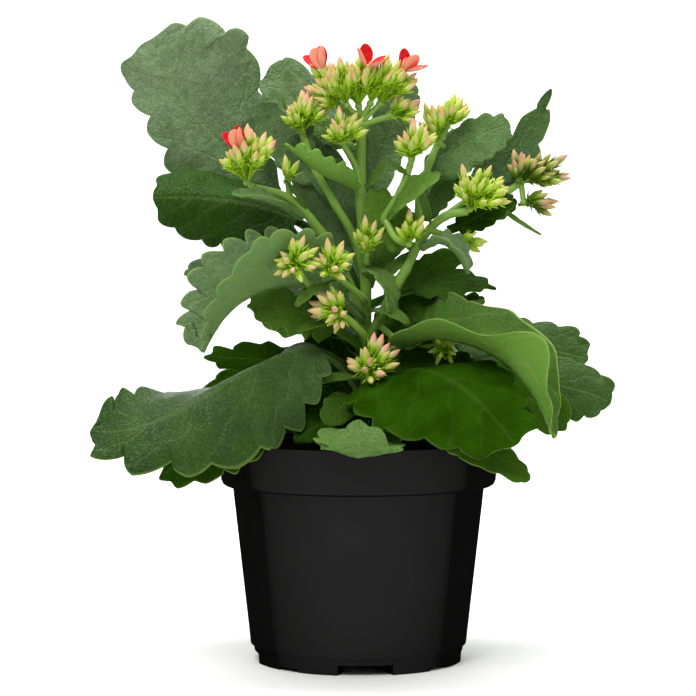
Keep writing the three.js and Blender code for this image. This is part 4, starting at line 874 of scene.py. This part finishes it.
class KALANCHOE_OT_potting_mix(bpy.types.Operator):
    """Fill the pot with crumbly potting mix, slightly domed, with loose crumbs on it."""

    bl_idname = "kalanchoe.potting_mix"
    bl_label = "Potting mix"

    def execute(self, context):
        sizes = context.scene.kalanchoe_pot
        low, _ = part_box("potting_mix")
        body_top = sizes.height - sizes.collar_height
        room = sizes.wall + 0.5 * MM
        collar = sizes.rim_radius - 0.9 * MM - room
        edge_level = sizes.soil_top - sizes.soil_dome
        shares = [ring / SOIL_RINGS for ring in range(SOIL_RINGS + 1)]
        surface = [
            (collar * (1 - share), edge_level + sizes.soil_dome * share) for share in shares]
        outline = [
            (0, low.z), (sizes.body_foot_radius - room - 2.4 * MM, low.z),
            (sizes.body_foot_radius - room, low.z + 1.6 * MM),
            (sizes.body_top_radius - room, body_top + MM), (collar, body_top + 4.1 * MM)] + surface
        bm = bmesh.new()
        spin_outline(bm, outline, SOIL_STEPS)
        for vert in bm.verts:
            if vert.co.z > edge_level - 0.1 * MM:
                lump = noise.fractal(vert.co / (6 * MM), 0.8, 2.2, 4) * 1.1 * MM
                vert.co.z += lump * smoothstep(collar - vert.co.xy.length, 0, 3 * MM)
        chance = random.Random(CRUMB_SEED)
        for _ in range(CRUMB_COUNT):
            angle = chance.uniform(0, 2 * math.pi)
            distance = collar * math.sqrt(chance.uniform(0.01, 0.96))
            spot = Vector((distance * math.cos(angle), distance * math.sin(angle), 0))
            spot.z = lerp(sizes.soil_top, edge_level, distance / collar) + 0.2 * MM
            grain = sizes.crumb * chance.uniform(0.25, 0.7)
            turn = Quaternion((chance.random(), chance.random(), chance.random()), chance.uniform(0, 3))
            size = Matrix.Diagonal(
                (grain, grain * chance.uniform(0.5, 1), grain * chance.uniform(0.4, 0.8), 1))
            matrix = Matrix.Translation(spot) @ turn.to_matrix().to_4x4() @ size
            bmesh.ops.create_icosphere(bm, subdivisions=1, radius=1, matrix=matrix)
        new_piece("crumbly_potting_mix", bm, [moist_peat(sizes)], "peat", "potting_mix")
        return {"FINISHED"}


def curve_point(points, share):
    """A point of the smooth centre line through the given points, evenly shared between their spans."""
    place = min(max(share, 0), 1) * (len(points) - 1)
    span = min(int(place), len(points) - 2)
    weight = place - span
    p1, p2 = points[span], points[span + 1]
    p0 = points[span - 1] if span > 0 else 2 * p1 - p2
    p3 = points[span + 2] if span + 2 < len(points) else 2 * p2 - p1
    d0, d1, d2 = ((b - a).length ** 0.5 for a, b in ((p0, p1), (p1, p2), (p2, p3)))
    start = ((p1 - p0) / d0 - (p2 - p0) / (d0 + d1) + (p2 - p1) / d1) * d1
    end = ((p2 - p1) / d1 - (p3 - p1) / (d1 + d2) + (p3 - p2) / d2) * d1
    w2, w3 = weight ** 2, weight ** 3
    return (p1 * (2 * w3 - 3 * w2 + 1) + start * (w3 - 2 * w2 + weight)
            + p2 * (3 * w2 - 2 * w3) + end * (w3 - w2))


def sweep(bm, route, radii, sides, spacing, along):
    """Extrude a ring along a route, as thick as radii says at each share of the way, and cap its ends.

    The layer along says for each point at what share of the way it is.
    """
    points = [Vector(p) * MM for p in route]
    length = sum((b - a).length for a, b in zip(points, points[1:]))
    steps = max(int(length / spacing), 2)
    line = [curve_point(points, step / steps) for step in range(steps + 1)]
    normal, old = None, None
    edges = []
    for step, spot in enumerate(line):
        ahead = (line[min(step + 1, steps)] - line[max(step - 1, 0)]).normalized()
        normal = ahead.orthogonal() if normal is None else normal - ahead * normal.dot(ahead)
        normal.normalize()
        radius = radii(step / steps)
        axes = (normal * radius, ahead.cross(normal) * radius, ahead * radius)
        matrix = Matrix(axes).transposed().to_4x4()
        matrix.translation = spot
        if old is None:
            verts = bmesh.ops.create_circle(
                bm, cap_ends=True, segments=sides, radius=1, matrix=matrix)["verts"]
            edges = list({edge for vert in verts for edge in vert.link_edges})
        else:
            grown = bmesh.ops.extrude_edge_only(bm, edges=edges)["geom"]
            verts = [item for item in grown if isinstance(item, bmesh.types.BMVert)]
            fresh = set(verts)
            edges = [item for item in grown
                     if isinstance(item, bmesh.types.BMEdge) and fresh.issuperset(item.verts)]
            bmesh.ops.transform(bm, matrix=matrix @ old.inverted(), verts=verts)
        for vert in verts:
            vert[along] = step / steps
        old = matrix
    bmesh.ops.contextual_create(bm, geom=edges)


class KALANCHOE_OT_stems(bpy.types.Operator):
    """Grow the main stem and its branches, a little swollen where they part."""

    bl_idname = "kalanchoe.stems"
    bl_label = "Stem and branches"

    def execute(self, context):
        colours = context.scene.kalanchoe_stems
        green = fleshy_stem(colours)
        for stem in STEMS:
            bm = bmesh.new()
            along = bm.verts.layers.float.new("along")
            spans = len(stem["route"]) - 1
            thick, thin = stem["radius"]

            def radii(share):
                joint = round(share * spans)
                away = abs(share * spans - joint)
                swollen = 1 + colours.swelling * math.exp(-(away / 0.12) ** 2) * (0 < joint < spans)
                return lerp(thick, thin, share) * MM * swollen

            sweep(bm, stem["route"], radii, 20, 1.2 * MM, along)
            youth = (0, 0.8) if stem["name"] == "main_stem" else (0.35, 0.65)
            for vert in bm.verts:
                vert[along] = youth[0] + youth[1] * vert[along]
            new_piece("fleshy_" + stem["name"], bm, [green], "stem", stem["name"])
        return {"FINISHED"}


def midrib_frame(leaf, share):
    """Place, forward direction and upper-face direction of a leaf's midrib at a share of its length."""
    p0, p1, p2, p3 = leaf["points"]
    rest = 1 - share
    place = rest ** 3 * p0 + 3 * rest ** 2 * share * p1 + 3 * rest * share ** 2 * p2 + share ** 3 * p3
    forward = 3 * rest ** 2 * (p1 - p0) + 6 * rest * share * (p2 - p1) + 3 * share ** 2 * (p3 - p2)
    forward.normalize()
    upper = leaf["faces"][0].lerp(leaf["faces"][1], share)
    upper = (upper - forward * upper.dot(forward)).normalized()
    return place, forward, upper


def slightness(half):
    """How much of the full thickness a leaf of this half width has."""
    return min(half / (FULL_LEAF_HALF * MM), 1)


def half_section(leaf, blade, hand, width, shares):
    """The bend of one half of the blade: how far out and up, and at what angle, at shares of its width.

    It is summed in four parts between one share and the next.
    """
    change = smoothstep(blade, 0.25, 0.85)
    fold = math.radians(lerp(leaf["fold"][hand], leaf.get("fold_tip", leaf["fold"])[hand], change))
    start = fold * min(blade * 4, 1)
    bend = math.radians(leaf["curl"][hand]) / (leaf["half"] * MM)
    soft = min(2.4 * MM, leaf["half"] * MM / 5)
    out, rise, last = 0.0, 0.0, 0.0
    section = {}
    for share in shares:
        reach = share * width
        for part in range(4):
            middle = lerp(last, reach, (part + 0.5) / 4)
            angle = start * math.tanh(middle / soft) + bend * middle
            out += math.cos(angle) * (reach - last) / 4
            rise += math.sin(angle) * (reach - last) / 4
        last = reach
        section[share] = (out, rise, start * math.tanh(reach / soft) + bend * reach)
    return section


def leaf_outline(leaf, sizes, chance, stations):
    """Margins of both halves: how far along and how far out each lies at each station of the blade."""
    half, petiole = leaf["half"] * MM, leaf["petiole"]
    stalk = sizes.petiole_half_width * slightness(half)
    line = [midrib_frame(leaf, petiole + (1 - petiole) * step / 20)[0] for step in range(21)]
    length = sum((b - a).length for a, b in zip(line, line[1:]))
    margins = []
    for hand in (0, 1):
        smooth = []
        for blade in stations:
            spindle = 0
            if 0 < blade < 1:
                spindle = math.sin(math.pi * blade ** leaf["widest"]) ** leaf["bluntness"]
            wide = half * between(leaf["flare"][hand], blade) * spindle
            width = math.hypot(stalk * math.sqrt(1 - blade ** 4), wide)
            smooth.append(Vector(((1 - math.cos(math.pi * blade)) / 2 * length, width)))
        whole = sum((b - a).length for a, b in zip(smooth, smooth[1:]))
        uneven = [chance.uniform(-1, 1) for _ in range(40)]
        run, margin = 0.0, []
        for spot, place in enumerate(smooth):
            before, after = smooth[max(spot - 1, 0)], smooth[min(spot + 1, len(smooth) - 1)]
            run += (place - before).length
            inward = Vector((after.y - before.y, before.x - after.x)).normalized()
            depth = half * sizes.lobe_depth * leaf["cleft"] * smoothstep(run / whole, 0.06, 0.2)
            drawn = place + inward * depth * lobe_shade(leaf, 1 - run / whole, uneven)
            margin.append((drawn.x / length, max(drawn.y, 0.0)))
        margins.append(margin)
    return margins


def between(values, share, eased=False):
    """A value between evenly spaced ones, straight or eased from each to the next."""
    place = min(max(share, 0), 1) * (len(values) - 1)
    spot = min(int(place), len(values) - 2)
    part = place - spot
    return lerp(values[spot], values[spot + 1], smoothstep(part, 0, 1) if eased else part)


def lobe_shade(leaf, reach, uneven):
    """How far the margin is drawn in, 0 on a lobe to 1 in a notch, at a share of the way from the tip."""
    if not leaf["lobes"]:
        return 0
    phase = leaf["lobes"] * reach + 0.5
    lobe = int(phase)

    def notch(index):
        return index + NOTCH_STRAY * uneven[index]

    if phase < notch(lobe):
        lobe -= 1
    elif phase > notch(lobe + 1):
        lobe += 1
    start, end = notch(lobe), notch(lobe + 1)
    share = min(max((phase - start) / (end - start), 0), 1)
    scallop = 1 - math.sin(math.pi * share ** 0.85) ** leaf["teeth"]
    saw = (share - TOOTH_PEAK) / (1 - TOOTH_PEAK)
    if share < TOOTH_PEAK:
        saw = (TOOTH_PEAK - share) / TOOTH_PEAK
    return lerp(scallop, saw, leaf["sharp"]) * (1 + 0.4 * uneven[20 + lobe])


def add_leaf(bm, leaf, sizes, seed):
    """Lay a fine closed skin over one leaf: a grid wrapped round its section, from its foot to its tip."""
    layers = {name: bm.verts.layers.float[name] for name in LEAF_LAYERS}
    chance = random.Random(seed)
    half = leaf["half"] * MM
    # Rings along the stalk and the blade and cells across each half: a large leaf has more of them.
    petiole_rings = 8
    blade_rings = int(min(max(4.4 * leaf["half"], 36), 136))
    cells = 2 * int(min(max(leaf["half"] * 0.45, 4), 12))
    stacks = 2 + petiole_rings + blade_rings
    waves = [chance.uniform(1.6, 3.2) for _ in range(2)]
    phases = [chance.uniform(0, 6.28) for _ in range(2)]
    shares = sorted({round(abs(math.cos(math.pi * step / cells)), 6) for step in range(cells + 1)})
    points = [Vector(p) * MM for p in leaf["route"]]
    faces = [Vector(f).normalized() for f in leaf["face"]]
    leaf = dict(leaf, points=points, faces=faces)
    petiole = leaf["petiole"]
    stations = [spot / (blade_rings + 1) for spot in range(blade_rings + 2)]
    margins = leaf_outline(leaf, sizes, chance, stations)
    verts = bmesh.ops.create_grid(bm, x_segments=stacks, y_segments=2 * cells, size=0.5)["verts"]
    rings = {}
    for vert in verts:
        rings.setdefault(round((vert.co.x + 0.5) * stacks), []).append(vert)
    for ring, row in rings.items():
        along = (ring - 1) / petiole_rings
        if ring > petiole_rings:
            along = 1 + (ring - 1 - petiole_rings) / (blade_rings + 1)
        if ring == 0 or ring == stacks:
            share = 0 if ring == 0 else 1
            place = midrib_frame(leaf, share)[0]
            for vert in row:
                vert.co = place
                vert[layers["blade"]] = share
                vert[layers["across"]] = share
                vert[layers["above"]] = 0.4
            continue
        blade = max(along - 1, 0)
        reach = (1 - math.cos(math.pi * blade)) / 2
        spot = max(ring - 1 - petiole_rings, 0)
        ends = [margins[hand][spot] for hand in (0, 1)]
        sections = [half_section(leaf, blade, hand, ends[hand][1], shares) for hand in (0, 1)]
        frames = {}
        for vert in row:
            step = round((vert.co.y + 0.5) * 2 * cells)
            top = step <= cells
            turn = math.pi * step / cells
            across = -math.cos(turn) if top else math.cos(math.pi * (step - cells) / cells)
            above = 0 if step % cells == 0 else (1 if top else -1)
            aside = round(abs(across), 6)
            hand = 1 if across < 0 else 0
            side = -1 if across < 0 else 1
            station = lerp(reach, ends[hand][0], smoothstep(aside, 0.3, 1)) if blade > 0 else 0
            station = max(station * lerp(lerp(0.94, 1, blade ** 6), 1, aside), 0)
            share = petiole + (1 - petiole) * station if along >= 1 else along * petiole
            key = round(share, 7)
            if key not in frames:
                frames[key] = midrib_frame(leaf, share)
            place, forward, upper = frames[key]
            out, rise, angle = sections[hand][aside]
            wave = leaf["wave"] * math.sin(math.tau * waves[hand] * blade + phases[hand])
            ends_flat = math.sin(math.pi * blade) ** 0.5
            wave *= ends_flat * min(half / (16 * MM), 1)
            if "ruffle" in leaf:
                wave = between(leaf["ruffle"][hand], blade, eased=True)
            rise += wave * MM * aside ** 2
            flesh = lerp(sizes.thickness, sizes.margin, aside) / 2 * math.sqrt(1 - aside ** 10)
            stalk = sizes.petiole_thickness / 2 * slightness(half) * math.sqrt(max(1 - aside ** 2, 0))
            thick = lerp(stalk, flesh, smoothstep(blade, 0, 0.25))
            if above < 0:
                thick += 0.7 * MM * math.exp(-(aside * ends[hand][1] / (1.4 * MM)) ** 2) * (1 - blade)
            thick *= above * slightness(half)
            swell = noise.noise(Vector((station * 5.5, across * 2.2, seed)))
            rise += leaf["swell"] * MM * swell * smoothstep(aside, 0, 0.35) * ends_flat
            outward = upper.cross(forward) * side
            out -= thick * math.sin(angle)
            rise += thick * math.cos(angle)
            vert.co = place + outward * out + upper * rise
            vert[layers["across"]] = across
            vert[layers["blade"]] = blade
            vert[layers["above"]] = max(above, leaf["both"])
    for vert in verts:
        # Grey wax bloom and painted sheen run from the stalk's share to the tip's share.
        vert[layers["bloom"]] = lerp(*leaf["bloom"], vert[layers["blade"]])
        for name in ("tone", "rim", "gloss"):
            vert[layers[name]] = leaf[name]
    bmesh.ops.remove_doubles(bm, verts=verts, dist=0.003 * MM)


def leaf_bmesh():
    """An empty bmesh with the layers that the leaf's material reads."""
    bm = bmesh.new()
    for name in LEAF_LAYERS:
        bm.verts.layers.float.new(name)
    return bm


class KALANCHOE_OT_leaves(bpy.types.Operator):
    """Grow every leaf and bract: a folded, curled blade with a scalloped margin on a thick stalk."""

    bl_idname = "kalanchoe.leaves"
    bl_label = "Leaves and bracts"

    def execute(self, context):
        sizes = context.scene.kalanchoe_leaves
        green = waxy_leaf(sizes)
        for seed, leaf in enumerate(LEAVES):
            bm = leaf_bmesh()
            add_leaf(bm, leaf, sizes, seed)
            new_piece("waxy_" + leaf["name"], bm, [green], "leaf", leaf["name"])
        bm = leaf_bmesh()
        for seed, leaf in enumerate(SMALL_LEAVES):
            add_leaf(bm, leaf, sizes, FIRST_SMALL_SEED + seed)
        new_piece("small_leaves_and_bracts", bm, [green], "leaf")
        return {"FINISHED"}


def add_pointed(bm, turn, place, lean, flat, radius, length, ripe, level):
    """One narrow pointed leaflet: a flattened cone that stands beside the axis and leans out."""
    matrix = (rotation(turn, "Z") @ Matrix.Translation(place) @ rotation(lean, "Y")
              @ Matrix.Diagonal((flat, 1, 1, 1)) @ Matrix.Translation((0, 0, length / 2)))
    leaflet = bmesh.ops.create_cone(
        bm, cap_ends=True, segments=4, radius1=radius, radius2=0.02 * MM, depth=length,
        matrix=matrix)["verts"]
    for vert in leaflet:
        vert[ripe] = level


def add_sepals(bm, sizes, lean, ripe):
    """Four sepals round the foot of a bud or flower, their tips standing out by the lean."""
    place = (sizes.bud_radius * 0.7, 0, 0.3 * MM)
    for index in range(4):
        add_pointed(bm, 45 + 90 * index, place, lean, 0.5, 1.2 * MM, sizes.sepal_length, ripe, RIPE_SEPAL)


def add_bracteoles(bm, sizes, lean, ripe):
    """Four small leaflets, one below another, on the stalk under a bud."""
    for index in range(4):
        place = (0.3 * MM, 0, -(0.8 + 1.5 * index) * MM)
        add_pointed(bm, lean * 7 + 130 * index, place, lean + 22, 0.4, 1.1 * MM,
                    sizes.sepal_length * 0.8, ripe, RIPE_BRACTEOLE)


def bud_template(sizes, lean):
    """One closed bud on a pedicel one metre long below zero, to be shortened where it is used."""
    bm = bmesh.new()
    length, radius = sizes.bud_length, sizes.bud_radius
    outline = [
        (0, -1), (sizes.pedicel_radius, -1), (sizes.pedicel_radius, 0), (radius * 0.8, 0.1 * length),
        (radius * 0.85, 0.28 * length), (radius, 0.48 * length), (radius * 0.84, 0.67 * length),
        (radius * 0.52, 0.83 * length), (radius * 0.2, 0.95 * length), (0, length)]
    spin_outline(bm, outline, 6)
    ripe = bm.verts.layers.float.new("ripe")
    for vert in bm.verts:
        vert[ripe] = lerp(RIPE_FOOT, 1, vert.co.z / length) if vert.co.z > 0 else RIPE_PEDICEL
    add_sepals(bm, sizes, lean, ripe)
    add_bracteoles(bm, sizes, lean, ripe)
    for face in bm.faces:
        face.material_index = BUD_MATERIAL
    return to_mesh("bud_template", bm)


def add_bud(bm, template, foot, direction, pedicel, size, blush, age_and_shade, turn):
    """Copy a bud into the head: shorten its pedicel, scale it, and stand it along its direction."""
    bud = template.copy()
    for vert in bud.vertices:
        if vert.co.z < -0.5:
            vert.co.z = -max(pedicel, 0.5 * MM) / size
    # Each bud carries its blush and the painted shade that darkens it.
    for name, value in (("blush", blush), ("age_and_shade", age_and_shade)):
        bud.attributes.new(name, "FLOAT", "POINT").data.foreach_set("value", [value] * len(bud.vertices))
    stand = direction.to_track_quat("Z", "Y").to_matrix().to_4x4() @ Matrix.Rotation(turn, 4, "Z")
    bud.transform(Matrix.Translation(foot + direction * pedicel) @ stand @ Matrix.Scale(size, 4))
    bm.from_mesh(bud)
    bpy.data.meshes.remove(bud)


def add_fan(bm, fan, templates, sizes, look, chance):
    """Spread the buds of one fan over a cap round its axis, ripest and longest in the middle."""
    blushing, crowding, scale, age_and_shade = look
    axis = Vector(fan["up"]).normalized()
    aside = Vector((0, -1, 0.3)).cross(axis).normalized()
    foot = Vector(fan["at"]) * MM
    count = round(fan["count"] * crowding * sizes.fullness)
    for index in range(count):
        share = math.sqrt((index + 0.5) / count)
        direction = Quaternion(axis, index * GOLDEN_ANGLE) @ (
            Quaternion(aside, math.radians(fan["spread"]) * 1.15 * share) @ axis)
        depth = ((index * GOLDEN_RATIO) % 1) ** 1.3
        reach = fan["reach"] * MM * (1.04 - 0.5 * depth) * (1 - 0.1 * share ** 2)
        direction = (direction + 0.16 * Vector([chance.uniform(-1, 1) for _ in range(3)])).normalized()
        size = scale * chance.uniform(0.8, 1.1) * (1 - 0.15 * share - 0.2 * depth)
        size *= min(1, reach / (9 * MM))
        pedicel = max(reach - sizes.bud_length * size, 0.5 * MM)
        blush = min(max(blushing + chance.uniform(-0.5, 0.5) - 0.3 * share ** 2 - 0.7 * depth, 0), 1)
        template = templates[index % len(templates)]
        turn = chance.uniform(0, math.pi)
        add_bud(bm, template, foot, direction, pedicel, size, blush, age_and_shade, turn)


def add_flower(bm, flower, sizes):
    """One opening flower: pedicel, calyx, tube and four petals that lean out."""
    foot, mouth = Vector(flower["foot"]) * MM, Vector(flower["mouth"]) * MM
    direction = (mouth - foot).normalized()
    tube = (mouth - foot).length
    outline = [
        (0, 0), (0.5, 0), (1.5, 0.8), (1.25, 2.4), (1.15, 4.4), (1.3, tube / MM - 1),
        (1.0, tube / MM), (0, tube / MM - 1.5)]
    part = bmesh.new()
    spin_outline(part, [(radius * MM, height * MM) for radius, height in outline], 10)
    ripe = part.verts.layers.float.new("ripe")
    above = part.verts.layers.float.new("above")
    for vert in part.verts:
        vert[ripe] = lerp(RIPE_FOOT, 0.95, vert.co.z / tube)
    add_sepals(part, sizes, FLOWER_LEAN, ripe)
    for face in part.faces:
        face.material_index = BUD_MATERIAL
    long = sizes.petal_length
    half = PETAL_HALF * long
    for bearing, lean in flower["petals"]:
        shape = Matrix.Diagonal((0.17 * MM, half, long / 2, 1))
        petal = bmesh.ops.create_uvsphere(
            part, u_segments=12, v_segments=10, radius=1, matrix=shape)["verts"]
        for vert in petal:
            height = vert.co.z / long + 0.5
            vert[above] = -1 if vert.co.x > 0 else 1
            vert.co.y *= 0.75 + 0.5 * height - 0.35 * height ** 4
            cup = (vert.co.y / half) ** 2
            vert.co.x += -cup * 0.9 * MM + math.sin(height * math.pi) * 0.7 * MM
            vert.co.z += long * 0.46
            for face in vert.link_faces:
                face.material_index = PETAL_MATERIAL
        place = (Matrix.Translation((0, 0, tube - 0.8 * MM)) @ rotation(bearing, "Z")
                 @ Matrix.Translation((0.9 * MM, 0, 0)) @ rotation(lean, "Y"))
        bmesh.ops.transform(part, matrix=place, verts=petal)
    upright = Vector((0, 0, 1)).rotation_difference(direction)
    place = Matrix.Translation(foot) @ upright.to_matrix().to_4x4()
    bmesh.ops.transform(part, matrix=place, verts=part.verts[:])
    mesh = to_mesh("flower", part)
    bm.from_mesh(mesh)
    bpy.data.meshes.remove(mesh)


class KALANCHOE_OT_heads(bpy.types.Operator):
    """Grow every flower head: stalks, fans of buds on thin pedicels, and the first opening flowers."""

    bl_idname = "kalanchoe.heads"
    bl_label = "Flower heads"

    def execute(self, context):
        sizes = context.scene.kalanchoe_heads
        materials = [
            fleshy_stem(context.scene.kalanchoe_stems), bud_tissue(sizes), petal_velvet(sizes)]
        templates = [bud_template(sizes, lean) for lean in BUD_LEANS]
        for seed, head in enumerate(HEADS):
            chance = random.Random(seed)
            bm = bmesh.new()
            for name in ("along", "ripe", "blush", "age_and_shade", "above"):
                bm.verts.layers.float.new(name)
            along = bm.verts.layers.float["along"]
            last = head["stalk"][-1]
            sweep(bm, head["stalk"], lambda share: lerp(*HEAD_STALK, share) * MM, 12, 1.5 * MM, along)
            for fan in head["fans"]:
                route = [fan["start"] or last, fan["at"]]
                if (Vector(route[0]) - Vector(route[1])).length > 1:
                    sweep(bm, route, lambda share: lerp(*SIDE_STALK, share) * MM, 10, 1.5 * MM, along)
                knot = Matrix.Translation(Vector(fan["at"]) * MM)
                bmesh.ops.create_icosphere(bm, subdivisions=2, radius=KNOT_RADIUS * MM, matrix=knot)
            for vert in bm.verts:
                vert[along] = 1
            for fan in head["fans"]:
                add_fan(bm, fan, templates, sizes, head["look"], chance)
            for flower in FLOWERS:
                if flower["head"] == head["name"]:
                    add_flower(bm, flower, sizes)
            new_piece("budding_" + head["name"], bm, materials, "bud", head["name"])
        for template in templates:
            bpy.data.meshes.remove(template)
        return {"FINISHED"}


class KALANCHOE_OT_stage(bpy.types.Operator):
    """Set the pale floor with its backdrop, the soft lights and the camera."""

    bl_idname = "kalanchoe.stage"
    bl_label = "Stage, lights and camera"

    def execute(self, context):
        settings = context.scene.kalanchoe_stage
        bm = bmesh.new()
        verts = bmesh.ops.create_grid(bm, x_segments=2, y_segments=60, size=FLOOR_HALF)["verts"]
        for vert in verts:
            past = vert.co.y - BEND_START
            if past > 0:
                bend = min(past / BEND_RADIUS, math.pi / 2)
                wall = max(past - BEND_RADIUS * math.pi / 2, 0)
                vert.co.y = BEND_START + BEND_RADIUS * math.sin(bend)
                vert.co.z = BEND_RADIUS * (1 - math.cos(bend)) + wall
        for face in bm.faces:
            face.smooth = True
        mesh = to_mesh("pale_floor", bm)
        material, tree = new_material("matt_studio_paper")
        place = add_node(tree, "ShaderNodeTexCoord", output=3)
        fibre = add_node(
            tree, "ShaderNodeTexNoise", {"Vector": place, "Scale": 1 / (2 * MM), "Detail": 2})
        bump = add_node(
            tree, "ShaderNodeBump", {"Height": fibre, "Strength": 0.05, "Distance": 0.05 * MM})
        finish_material(tree, {"Base Color": settings.floor, "Roughness": 0.9, "Normal": bump})
        mesh.materials.append(material)
        floor = new_object("pale_floor", mesh)

        def softbox(name, power, size, place, target):
            lamp = bpy.data.lights.new(name, "AREA")
            lamp.energy, lamp.size = power, size
            light = new_object(name, lamp)
            light.location = place
            light.rotation_euler = (Vector(target) - Vector(place)).to_track_quat("-Z", "Y").to_euler()

        softbox("key_softbox", settings.key_power, 0.5, (-0.3, -0.8, 1.0), (0, 0, 0.16))
        softbox("fill_softbox", settings.fill_power, 0.8, (0.9, -0.6, 0.5), (0, 0, 0.14))
        softbox("overhead_softbox", settings.overhead_power, 3.0, (0, 0.3, 2.0), (0, 0.3, 0))
        softbox("backdrop_softbox", settings.overhead_power, 2.0, (0, 0.4, 1.5), (0, 2.4, 0.6))
        world = bpy.data.worlds.new("white_studio")
        world.use_nodes = True
        sky = world.node_tree.nodes["Background"]
        sky.inputs["Color"].default_value = (1, 1, 1, 1)
        sky.inputs["Strength"].default_value = settings.surroundings
        context.scene.world = world
        context.scene.view_settings.view_transform = "Standard"
        lens = bpy.data.cameras.new("photo_camera")
        lens.sensor_width = SENSOR_WIDTH
        lens.lens = settings.focal_pixels * SENSOR_WIDTH
        lens.clip_start = 0.01
        camera = new_object("photo_camera", lens)
        camera.location = (settings.camera_side, -settings.camera_distance, settings.camera_height)
        camera.rotation_euler = (math.pi / 2 - settings.camera_pitch, 0, 0)
        context.scene.camera = camera
        return {"FINISHED"}


STEPS = [
    KALANCHOE_OT_pot, KALANCHOE_OT_potting_mix, KALANCHOE_OT_stems, KALANCHOE_OT_leaves,
    KALANCHOE_OT_heads, KALANCHOE_OT_stage]
GROUPS = {
    "kalanchoe_pot": KALANCHOE_PG_pot,
    "kalanchoe_leaves": KALANCHOE_PG_leaves,
    "kalanchoe_stems": KALANCHOE_PG_stems,
    "kalanchoe_heads": KALANCHOE_PG_heads,
    "kalanchoe_stage": KALANCHOE_PG_stage,
}


class KALANCHOE_PT_panel(bpy.types.Panel):
    """Lists the plant's pieces with their sizes and colours."""

    bl_label = "Potted Kalanchoe"
    bl_idname = "KALANCHOE_PT_panel"
    bl_space_type = "VIEW_3D"
    bl_region_type = "UI"
    bl_category = "Kalanchoe"

    def draw(self, context):
        for step in STEPS:
            self.layout.operator(step.bl_idname)
        for name, group in GROUPS.items():
            box = self.layout.box()
            box.label(text=name.replace("kalanchoe_", "").capitalize())
            for key in group.__annotations__:
                box.prop(getattr(context.scene, name), key)


def register():
    for group in GROUPS.values():
        bpy.utils.register_class(group)
    for step in STEPS:
        bpy.utils.register_class(step)
    bpy.utils.register_class(KALANCHOE_PT_panel)
    for name, group in GROUPS.items():
        setattr(bpy.types.Scene, name, PointerProperty(type=group))


def unregister():
    for name in GROUPS:
        delattr(bpy.types.Scene, name)
    bpy.utils.unregister_class(KALANCHOE_PT_panel)
    for step in reversed(STEPS):
        bpy.utils.unregister_class(step)
    for group in reversed(list(GROUPS.values())):
        bpy.utils.unregister_class(group)


def main():
    """Register the classes and build the object piece by piece."""
    register()
    bpy.ops.kalanchoe.pot()
    bpy.ops.kalanchoe.potting_mix()
    bpy.ops.kalanchoe.stems()
    bpy.ops.kalanchoe.leaves()
    bpy.ops.kalanchoe.heads()
    bpy.ops.kalanchoe.stage()


if __name__ == "__main__":
    main()
